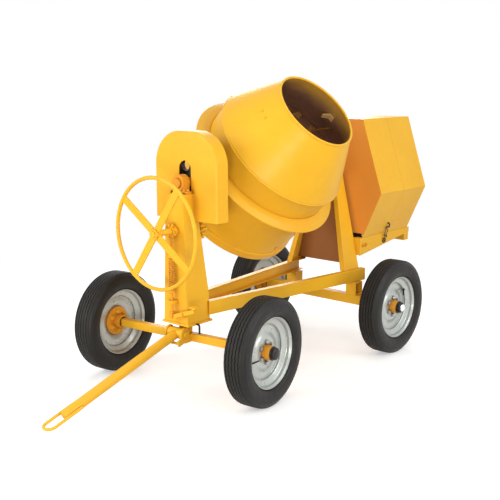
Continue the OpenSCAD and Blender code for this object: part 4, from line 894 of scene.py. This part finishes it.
# Wheels
TYRE_R = half_size("tyre_rear_right", 2)
TYRE_HALF = half_size("tyre_rear_right", 0)
RIM_R = half_size("rim_rear_right", 2)
RIM_HALF = half_size("rim_rear_right", 0)
HUB_R = 0.046
HUB_OUT = 0.062
STUDS = 6
STUD_CIRCLE_R = 0.066
FLANGE_BACK = -0.008
BEAD_R = RIM_R - 0.009
WELL_R = RIM_R - 0.046
TREAD_HALF = TYRE_HALF * 0.78
WALL_R = (TYRE_R + RIM_R) / 2 - 0.004
SHOULDER_R = TYRE_R - 0.014
MOULD_LINE = 0.0012
GROOVES = 2
GROOVE_STEP = TREAD_HALF * 0.36
GROOVE_W = 0.0055
GROOVE_D = 0.008
GROOVE_EDGE = 0.0012
ZIGZAG = 0.0026
BLOCKS = 60
CAP_R = 0.038
CAP_BASE_R = 0.044
CAP_LEN = 0.034
CAP_SKIRT = 0.021
# Each wheel, with how far round it its valve is
VALVE_ANGLES = {"front_right": 100, "front_left": 140, "rear_right": 305, "rear_left": 250}


def wheel_frame(wheel, out=0.0):
    """A frame on a wheel's axle, so far out from its middle, with Z to the outside."""
    joint = f"wheel_{wheel}_roll"
    side = 1 if wheel.endswith("right") else -1
    return axis_frame(point_at(joint), axis_of(joint) * side) @ Matrix.Translation((0, 0, out))


def tyre_section():
    """Half of a tyre's section, bead to crown, as (radius, offset, share of the zigzag)."""
    line = [(BEAD_R, RIM_HALF - 0.014, 0), (RIM_R + 0.001, RIM_HALF - 0.007, 0)]
    for a in range(90, 0, -6):
        turn = radians(a)
        bow = MOULD_LINE if 50 < a < 66 else 0
        line.append((WALL_R - (WALL_R - RIM_R - 0.003) * sin(turn),
                     TYRE_HALF - (TYRE_HALF - RIM_HALF + 0.006) * (1 - cos(turn)) + bow, 0))
    for a in range(0, 79, 6):
        turn = radians(a)
        bow = MOULD_LINE if 28 < a < 38 else 0
        line.append((WALL_R + (SHOULDER_R - WALL_R) * sin(turn),
                     TYRE_HALF - (TYRE_HALF - TREAD_HALF + 0.002) * (1 - cos(turn)) + bow, 0))
    line += [(TYRE_R - 0.0075, TREAD_HALF - 0.0006, 0), (TYRE_R - 0.0035, TREAD_HALF - 0.004, 0)]
    for k in range(GROOVES, -1, -1):
        middle = k * GROOVE_STEP
        crown = TYRE_R - 0.0018 * (middle / TREAD_HALF) ** 2
        outer, inner = middle + GROOVE_W / 2, middle - GROOVE_W / 2
        line += [(crown, outer + GROOVE_EDGE, 1), (crown - GROOVE_EDGE, outer, 1), (crown - GROOVE_D, outer - 0.001, 1)]
        if k:
            line += [(crown - GROOVE_D, inner + 0.001, 1), (crown - GROOVE_EDGE, inner, 1),
                     (crown, inner - GROOVE_EDGE, 1)]
    return line


def make_tyre(wheel):
    half = tyre_section()
    section = half + [(r, -u, share) for r, u, share in reversed(half)]
    rows, around = len(section), 4 * BLOCKS
    at = wheel_frame(wheel)
    points, faces, marks = [], [], []
    for k in range(around):
        a = TURN * k / around
        swing = ZIGZAG * (1, 0, -1, 0)[k % 4]
        here, there = k * rows, (k + 1) % around * rows
        for i, (r, u, share) in enumerate(section):
            n = (i + 1) % rows
            points.append(at @ round_axis(r, a, u + swing * share))
            faces.append((here + i, here + n, there + n, there + i))
            marks.append(int(r > SHOULDER_R))
    mesh = shell("tyre", points, faces, marks, (FINISH["tyre_rubber"], TREAD), 38)
    piece(f"tyre_{wheel}_moulded", mesh, f"wheel_{wheel}", "tyre_rubber", f"tyre_{wheel}")


def make_rim(wheel):
    """The well with its rolled flanges, the dished disc inside it, and the weld between them."""
    seat, sheet = BEAD_R - FIT, 0.005
    half = [(RIM_R - 0.0005, RIM_HALF - 0.001), (RIM_R - 0.002, RIM_HALF - 0.006), (seat, RIM_HALF - 0.013),
            (seat, RIM_HALF - 0.033), (WELL_R, RIM_HALF - 0.046)]
    outside = half + [(r, -u) for r, u in reversed(half)]
    inside = [(r - sheet, u) for r, u in reversed(outside)]
    bore, flat_r, dish_r, edge_r = HUB_R + 0.0004, STUD_CIRCLE_R + 0.033, 0.126, WELL_R - 0.003
    disc = [(bore, 0.004), (flat_r, 0.004), (dish_r, -0.012), (edge_r, -0.008),
            (edge_r, 0.0005), (dish_r, -0.004), (flat_r, 0.012), (bore, 0.012)]
    weld = oval(WELL_R - 0.005, -0.001, 0.005, 0.004, 12)
    lines = (filleted(outside + inside, 0.006), filleted(disc, 0.014, 6), weld)
    shells = [turned("rim", line, wheel_frame(wheel), FINISH["rim_paint"]) for line in lines]
    piece(f"rim_{wheel}_pressed", joined(f"rim_{wheel}", shells), f"wheel_{wheel}", "rim_paint", f"rim_{wheel}")


def make_cap(wheel):
    turns = [radians(a) for a in range(0, 90, 9)]
    dome = [(CAP_R * cos(a), CAP_SKIRT + (CAP_LEN - CAP_SKIRT) * sin(a)) for a in turns]
    line = [(0.026, 0.0002), (CAP_BASE_R - 0.001, 0.0002), (CAP_BASE_R, 0.0012), (CAP_BASE_R, 0.004),
            (CAP_BASE_R - 0.001, 0.005), (CAP_R + 0.001, 0.005), (CAP_R, 0.006)] + dome + [(0, CAP_LEN)]
    mesh = turned("cap", line, wheel_frame(wheel, HUB_OUT), FINISH["black_paint"], segments=96, closed=False)
    piece(f"cap_{wheel}_domed", mesh, f"wheel_{wheel}", "black_paint", f"cap_{wheel}")


def make_valve(wheel):
    """A rubber stem with its dust cap, out of the well and in towards the hub."""
    at = wheel_frame(wheel) @ Matrix.Rotation(radians(VALVE_ANGLES[wheel]), 4, "Z")
    root = at @ Vector((RIM_R - 0.050, 0, 0.016))
    tip = at @ Vector((RIM_R - 0.104, 0, 0.040))
    end = (tip - root).length
    line = [(0, 0), (0.0085, 0), (0.0085, 0.006), (0.0058, 0.012), (0.0050, end - 0.016), (0.0036, end - 0.015),
            (0.0036, end - 0.013), (0.0048, end - 0.013), (0.0048, end - 0.001), (0.0036, end), (0, end)]
    mesh = turned("valve", line, axis_frame(root, tip - root), FINISH["belt_rubber"], segments=24, closed=False)
    piece(f"valve_{wheel}", mesh, f"wheel_{wheel}", "belt_rubber")


def make_flange_bolts(wheel):
    """The heads of the wheel studs, behind the hub flange."""
    at = wheel_frame(wheel)
    turns = [TURN * k / STUDS for k in range(STUDS)]
    places = [at @ round_axis(STUD_CIRCLE_R, a, FLANGE_BACK) for a in turns]
    aims = [at.to_3x3() @ Vector((0, 0, -1))] * STUDS
    grown_piece(f"stud_heads_{wheel}", BOLTS, f"wheel_{wheel}", places, aims, head=0.0165, height=0.013)


def make_seal(wheel):
    """The dark ring round the spindle, between the hub and the end of the axle beam."""
    bore, rim, inner, outer = 0.0236, 0.0340, -0.0656, -0.0628
    line = [(bore, outer), (rim, outer), (0.0345, -0.0645), (rim, inner), (bore, inner)]
    mesh = turned("seal", line, wheel_frame(wheel), FINISH["belt_rubber"], segments=64)
    piece(f"seal_{wheel}", mesh, BODY_OF[wheel.split("_")[0] + "_axle"], "belt_rubber")


def make_wheels():
    for wheel in VALVE_ANGLES:
        for make in (make_seal, make_tyre, make_rim, make_cap, make_valve, make_flange_bolts):
            make(wheel)
    # Painted highlight: a bright plug in the rear right cap only, where that cap shows a highlight
    line = [(0, -0.012), (0.027, -0.012), (0.027, 0.0005), (0.025, 0.0022), (0, 0.0032)]
    at = wheel_frame("rear_right", HUB_OUT + CAP_LEN)
    plug = turned("plug", line, at, FINISH["plug"], segments=48, closed=False)
    piece("cap_highlight_plug", plug, "wheel_rear_right", "machined_steel")


# Drum, as radii and heights in its own frame
BAND_RADII, BAND_HEIGHTS = in_drum("crown_band")
BAND_R = max(BAND_RADII)
BAND_TOP = max(BAND_HEIGHTS)
TEETH_LOW = min(BAND_HEIGHTS)
TEETH_DEPTH = 0.020
BAND_LOW = TEETH_LOW + TEETH_DEPTH
CROWN_TEETH = 104
TOOTH_PITCH = 0.0314
CROWN_COVER = 0.012
CROWN_GAP = 0.032
BOWL_RADII, BOWL_HEIGHTS = in_drum("drum_bowl")
BOWL_R = max(r for r, h in zip(BOWL_RADII, BOWL_HEIGHTS) if h > BAND_TOP)
BOWL_RIM = max(BOWL_HEIGHTS)
FLOOR_H = min(BOWL_HEIGHTS)
PLATE = 0.006
BOTTOM_R = max(BOWL_RADII)
BOTTOM_LAP = -0.285
BOTTOM_LIP = 0.010
KNUCKLE = 0.020
LAP_R = max(CONE_RADII)
LAP_LOW = min(CONE_HEIGHTS)
LAP_TOP = LAP_LOW + 0.020
LAP_BEAD = 0.005
MOUTH_R = 0.287
BEAD = 0.008
MOUTH_MID = MOUTH_H - BEAD
SEAT_R = BOWL_R + FIT


def knuckle(radius, height):
    """The rounded corner between a wall and the floor."""
    turns = [-pi / 2 * k / 8 for k in range(9)]
    return [(radius + KNUCKLE * (cos(a) - 1), height + KNUCKLE * (sin(a) + 1)) for a in turns]


def bowl_outside():
    """The bowl's outside from its rim to the middle of its floor, with the flange of its bottom over the wall."""
    low_r = BOTTOM_R - BOTTOM_LIP
    lap = [(BOWL_R, BAND_LOW), (low_r, BOTTOM_LAP), (BOTTOM_R, BOTTOM_LAP - 0.003), (BOTTOM_R, FLOOR_H + KNUCKLE)]
    lip = filleted(lap, 0.005, 5, closed=False)[6:-1]
    return [(BOWL_R, BOWL_RIM), lap[0], lap[1]] + lip + knuckle(BOTTOM_R, FLOOR_H) + [(0, FLOOR_H)]


def bowl_inside():
    low_r = BOTTOM_R - BOTTOM_LIP - PLATE
    wall = [(BOWL_R - PLATE, BOWL_RIM), (BOWL_R - PLATE, BAND_LOW), (low_r, BOTTOM_LAP)]
    return wall + knuckle(low_r, FLOOR_H + PLATE) + [(0, FLOOR_H + PLATE)]


def make_bowl():
    outside = bowl_outside()
    mesh = turned("bowl", outside + bowl_inside()[::-1], DRUM, PAINT, LINING, segments=192,
                  finish_at=lambda band: int(band >= len(outside)))
    piece("drum_bowl_spun", mesh, "drum", "yellow_paint", "drum_bowl")


def make_cone():
    """The cone with its lap over the bowl and the bead rolled round its mouth."""
    bead_r = LAP_R + LAP_BEAD
    outside = filleted([(SEAT_R, LAP_LOW), (bead_r, LAP_LOW), (bead_r, LAP_LOW + 0.010), (LAP_R, LAP_LOW + 0.012),
                        (LAP_R, LAP_TOP), (MOUTH_R, MOUTH_MID)], 0.004, 5, closed=False)
    foot = BOWL_RIM + 0.002
    inside = [(MOUTH_R - PLATE, MOUTH_MID), (LAP_R - PLATE - 0.001, foot), (SEAT_R, foot)]
    last = len(outside) - 1
    cone = turned("cone", outside + inside, DRUM, PAINT, LINING, segments=192,
                  finish_at=lambda band: int(last <= band < last + 2))
    bead = turned("bead", oval(MOUTH_R - PLATE / 2, MOUTH_MID, BEAD, BEAD, 16), DRUM, PAINT, segments=192)
    piece("drum_cone_rolled", joined("cone", [cone, bead]), "drum", "yellow_paint", "drum_cone")


def make_crown():
    """The band round the bowl, and its teeth."""
    line = [(SEAT_R, BAND_LOW), (BAND_R, BAND_LOW), (BAND_R, BAND_LOW + 0.011),
            ((BAND_R + BOWL_R) / 2, BAND_TOP - 0.009), (BOWL_R + 0.006, BAND_TOP), (SEAT_R, BAND_TOP)]
    band = turned("band", filleted(line, 0.006, 5), DRUM, PAINT, segments=208)
    inner, outer = BOWL_R + CROWN_GAP, BAND_R - CROWN_COVER
    teeth = grown("crown_teeth", TEETH, [(0, 0, 0)], teeth=CROWN_TEETH, ring=(inner + outer) / 2, width=outer - inner,
                  root=0.29 * TOOTH_PITCH, tip=0.12 * TOOTH_PITCH, depth=TEETH_DEPTH + 0.001, height=TEETH_LOW,
                  finish=PAINT)
    teeth.transform(DRUM @ Matrix.Rotation(TURN / CROWN_TEETH / 2, 4, "Z"))
    piece("crown_toothed", joined("crown", [band, teeth]), "drum", "yellow_paint", "crown_band")


def on_wall(height, angle, inset=0.0):
    """A frame on the inside of the drum: Z in towards the axis, X up the wall."""
    if height < BOWL_RIM:
        radius, slope = BOWL_R - PLATE, Vector((0, 1))
    else:
        share = (height - LAP_TOP) / (MOUTH_MID - LAP_TOP)
        radius = LAP_R + (MOUTH_R - LAP_R) * share - PLATE
        slope = Vector((MOUTH_R - LAP_R, MOUTH_MID - LAP_TOP)).normalized()
    a = radians(angle)
    out = Vector((cos(a), sin(a), 0))
    up_wall = (out * slope.x + UP * slope.y).normalized()
    inward = up_wall.cross(Vector((-sin(a), cos(a), 0)))
    if inward.dot(out) > 0:
        inward = -inward
    at = out * radius + UP * height + inward * inset
    turn = DRUM.to_3x3()
    return axis_frame(DRUM @ at, turn @ inward, turn @ up_wall)


# Height on the drum's axis, angle round it, length up the wall, reach and lean of each paddle bracket
BRACKETS = [(0.285, 126, 0.044, 0.060, 20), (0.272, 109, 0.050, 0.062, -25), (0.508, 99.5, 0.052, 0.055, 35)]
STRAP = 0.008
# Height, angle and distance from the wall of the stay rod's ends
STAY = [(0.272, 107, 0.045), (0.443, 92, 0.014)]
# Height and angles of the two bolt heads on the outside of the cone
CONE_BOLTS_H = 0.517
CONE_BOLT_ANGLES = (-110, -101)


def make_brackets():
    """Bent straps inside the mouth that carry the paddles, and the stay rod between two of them."""
    shells = []
    for index, (height, angle, tall, reach, lean) in enumerate(BRACKETS):
        at = on_wall(height, angle)
        half = tall / 2
        foot = [(-half, -0.032), (half, -0.032), (half, 0.006), (-half, 0.006)]
        leaf = [(-half, 0), (half, 0), (half - 0.006, reach), (-half + 0.006, reach)]
        stand = at @ Matrix.Translation((0, 0.004, 0.006)) @ Matrix.Rotation(radians(90 - lean), 4, "X")
        for name, outline, frame_at in (("foot", foot, at @ Matrix.Translation((0, 0, 0.006))), ("leaf", leaf, stand)):
            shells.append(plate(f"{name}_{index}", outline, STRAP, frame_at, FINISH["bracket"]))
    shells.append(swept_rod("stay", [on_wall(*end).translation for end in STAY], 0.004, PAINT))
    piece("paddle_brackets", joined("brackets", shells), "drum", "yellow_paint")


def make_cone_bolts():
    spots = [on_wall(CONE_BOLTS_H, angle, -PLATE) for angle in CONE_BOLT_ANGLES]
    aims = [at.to_3x3() @ Vector((0, 0, -1)) for at in spots]
    places = [at.translation for at in spots]
    grown_piece("cone_bolt_heads", BOLTS, "drum", places, aims, head=0.0075, height=0.004)


# Gear cover
COVER_LOW, COVER_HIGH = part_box("gear_cover")
COVER_ROUND = 0.214
COVER_BEND = 0.016
COVER_SHEET = 0.004
SLOT_HALF = 0.052
SLOT_TOP = 0.084
SLOT_DEPTH = 0.02


def cover_outline(inset, steps=24):
    half, top = COVER_HIGH.x - inset, COVER_HIGH.z - inset
    radius = COVER_ROUND - inset
    line = [Vector((-half, 0, COVER_LOW.z))]
    for side, first in ((-1, pi), (1, pi / 2)):
        for k in range(steps + 1):
            a = first - pi / 2 * k / steps
            line.append(Vector((side * (half - radius) + radius * cos(a), 0, top - radius + radius * sin(a))))
    line.append(Vector((half, 0, COVER_LOW.z)))
    return line


def column_cutter():
    bench = bench_of(NODES["column"].data)
    hull = bmesh.ops.convex_hull(bench, input=bench.verts)
    bmesh.ops.delete(bench, geom=hull["geom_interior"], context="VERTS")
    mesh = mesh_from(bench, "column_cutter")
    outward(mesh)
    return placed("column_cutter", mesh)


def slot_cutter():
    top = point_at("drum_tilt").z + SLOT_TOP
    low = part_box("column")[1].z - 0.02
    bow = [(SLOT_HALF * cos(pi - pi * k / 24), top + SLOT_HALF * sin(pi * k / 24))
           for k in range(25)]
    line = [(-SLOT_HALF, low)] + bow + [(SLOT_HALF, low)]
    block = prism([(x, COVER_LOW.y - SLOT_DEPTH, z) for x, z in line], (0, 2 * SLOT_DEPTH, 0))
    return placed("slot_cutter", mesh_from(block, "slot_cutter"))


def make_cover():
    """A pressed hood: its front bends round into its sides, with a slot for the trunnion and room for the column."""
    rows = [(COVER_HIGH.y, 0.0)]
    for k in range(7):
        a = pi / 2 * k / 6
        rows.append((COVER_LOW.y + COVER_BEND * (1 - sin(a)), COVER_BEND * (1 - cos(a))))
    points = [(p.x, y, p.z) for y, inset in rows for p in cover_outline(inset)]
    wide = len(points) // len(rows)
    starts = [row * wide + k for row in range(len(rows) - 1) for k in range(wide - 1)]
    faces = [(a, a + 1, a + wide + 1, a + wide) for a in starts]
    faces.append(tuple(range((len(rows) - 1) * wide, len(rows) * wide)))
    mesh = bpy.data.meshes.new("cover")
    mesh.from_pydata(points, [], faces)
    outward(mesh)
    thing = placed("cover_bench", mesh)
    wall = thing.modifiers.new("sheet", "SOLIDIFY")
    wall.thickness = COVER_SHEET
    wall.offset = -1
    wall.use_even_offset = True
    cutters = [column_cutter(), slot_cutter()]
    for cutter in cutters:
        cut = thing.modifiers.new("cut", "BOOLEAN")
        cut.operation = "DIFFERENCE"
        cut.object = cutter
        cut.solver = "EXACT"
    made = baked(thing)
    for cutter in cutters:
        bpy.data.objects.remove(cutter)
    made.materials.clear()
    dressed(smoothed(made, 26), PAINT)
    piece("gear_cover_pressed", made, "chassis", "yellow_paint", "gear_cover")


# Foot lock and tilt gear
SPRING_WIRE = 0.0025
SPRING_TURNS = 14.0


def make_spring():
    """The return spring round the lock rod, wound between the guide and the collar."""
    low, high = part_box("return_spring")
    coil = grown("spring", COIL, [(0, 0, 0)], radius=(high.x - low.x) / 2 - SPRING_WIRE, wire=SPRING_WIRE,
                 length=high.z - low.z - 2 * SPRING_WIRE, turns=SPRING_TURNS, finish=FINISH["casting"])
    middle = (low + high) / 2
    coil.transform(Matrix.Translation((middle.x, middle.y, low.z + SPRING_WIRE)))
    thing = piece("return_spring_wound", coil, "chassis", SLOT_OF["return_spring"], "return_spring")
    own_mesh(thing)


WHEEL_TUBE = 0.0125
WHEEL_HUB = [(0.020, 0.020), (0.034, 0.020), (0.034, -0.034), (0.020, -0.034)]
SPOKE_W = 0.050
SPOKE_T = 0.010
SPOKES = [55, 145, 235, 325]


def make_handwheel():
    """A tube bent to a ring, four flat spokes welded into it, and a turned hub."""
    low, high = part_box("handwheel")
    centre = point_at("handwheel_turn")
    ring_r = (high.x - low.x) / 2 - WHEEL_TUBE
    at = axis_frame((centre.x, low.y + 0.020, centre.z), (0, -1, 0), (1, 0, 0))
    shells = [turned("ring", oval(ring_r, 0, WHEEL_TUBE, WHEEL_TUBE, 20), at, PAINT, segments=160),
              turned("hub", filleted(WHEEL_HUB, 0.003), at, PAINT, segments=64)]
    inner, outer, half = 0.030, ring_r - 0.004, SPOKE_W / 2
    flat = [(inner, -half), (outer, -half), (outer, half), (inner, half)]
    for angle in SPOKES:
        turn = at @ Matrix.Rotation(radians(angle), 4, "Z")
        shells.append(plate("spoke", flat, SPOKE_T, turn, PAINT, 0.002))
    piece("handwheel_welded", joined("handwheel", shells), "handwheel", "yellow_paint", "handwheel")


def make_bearing_bolts():
    """The two bolts that hold the handwheel's bearing on the column."""
    face_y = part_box("column")[0].y - 0.012
    middle, reach = point_at("handwheel_turn").z, 0.0364
    places = [(0, face_y, middle - reach), (0, face_y, middle + reach)]
    grown_piece("bearing_bolt_heads", BOLTS, "chassis", places, [(0, -1, 0)] * 2, head=0.0105, height=0.008)


def make_stop_rod():
    """The bent stop that hangs from the column foot over the axle."""
    inner, outer, foot = 0.090, 0.142, 0.378
    y = point_at("steering").y - 0.02
    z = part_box("column_base")[1].z - 0.007
    line = [(inner, y, z), (outer, y, z), (outer, y, foot)]
    rod = swept_rod("stop", line, 0.0068, FINISH["black_paint"], 0.014)
    piece("steering_stop", rod, "chassis", "black_paint")


# Canopy: the right-hand edges of its foot and knee, and the rivets on the side between them
CANOPY_FOOT_X = 0.280
CANOPY_KNEE_Z = 1.135
RIVET_RISE = 0.102
RIVETS_Y = (1.428, 1.493)
BED_SIDE_X = 0.2824


def make_canopy_rivets():
    low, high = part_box("canopy_rear")
    foot = Vector((CANOPY_FOOT_X, low.y, low.z))
    slope = Vector((high.x, low.y, CANOPY_KNEE_Z)) - foot
    out = -slope.cross(Vector((0, 1, 0))).normalized()
    places = [foot + slope.normalized() * RIVET_RISE + Vector((0, y - foot.y, 0)) for y in RIVETS_Y]
    grown_piece("canopy_rivet_heads", RIVETS, "canopy_rear", places, [out] * 2, head=0.006)


def make_bed_front():
    """A black plate behind the vent of the canopy as painted shade for the inside of the bed, and the bolts at the
    front of the bed's right-hand beam.
    """
    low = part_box("canopy_front")[0]
    half, tall = 0.262, 0.040
    at = axis_frame((0, low.y + 0.018, low.z - 0.008), (0, 1, 0))
    outline = [(-tall, -half), (tall, -half), (tall, half), (-tall, half)]
    # Painted shade: a black plate stands for the shade inside the bed
    piece("vent_shade_plate", plate("vent_shade_plate", outline, 0.004, at, FINISH["black_paint"]), "chassis", "black_paint")
    places = [(BED_SIDE_X, low.y + back, low.z - 0.058) for back in (0.006, 0.042)]
    grown_piece("bed_bolt_heads", BOLTS, "chassis", places, [(1, 0, 0)] * 2, finish=FINISH["casting"], head=0.012,
                height=0.009)


def make_latch_ends():
    """The hook that the latch catches on, and the ring below it on the bed."""
    low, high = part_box("latch_bail")
    y = (low.y + high.y) / 2
    rise = Vector((high.x - low.x - 0.006, 0, high.z - low.z - 0.006)).normalized()
    out = Vector((rise.z, 0, -rise.x))
    top = Vector((high.x - 0.004, y, high.z - 0.003))
    line = [top - out * 0.012 + rise * 0.030, top + out * 0.010 + rise * 0.030, top + out * 0.012 + rise * 0.002]
    hook = swept_rod("hook", line, 0.006, FINISH["cast_iron"], 0.010)
    ring_at = axis_frame((low.x + 0.003, y, low.z - 0.022), (1, 0, 0))
    ring = turned("ring", oval(0.016, 0, 0.005, 0.005, 12), ring_at, FINISH["cast_iron"], segments=48)
    piece("latch_hook_and_ring", joined("latch_ends", [hook, ring]), "chassis", "cast_iron")


def make_column_weld():
    """The fillet weld round the column where it stands on its plate."""
    low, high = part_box("column")
    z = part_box("column_base")[1].z
    foot = [(low.x, low.y, z), (high.x, low.y, z), (high.x, high.y, z), (low.x, high.y, z)]
    ring = [(0, 1), (1, 2), (2, 3), (3, 0)]
    grown_piece("column_weld", WELDS, "chassis", foot, edges=ring, step=0.006, bead=0.0045)


for node, width in EDGES.items():
    softened(node, width)
for make in (make_wheels, make_bowl, make_cone, make_crown, make_brackets, make_cone_bolts, make_cover, make_spring,
             make_handwheel, make_bearing_bolts, make_stop_rod, make_canopy_rivets, make_bed_front, make_latch_ends,
             make_column_weld, make_camera, make_studio, make_floor):
    make()

scene = bpy.context.scene
scene.view_settings.view_transform = "Standard"
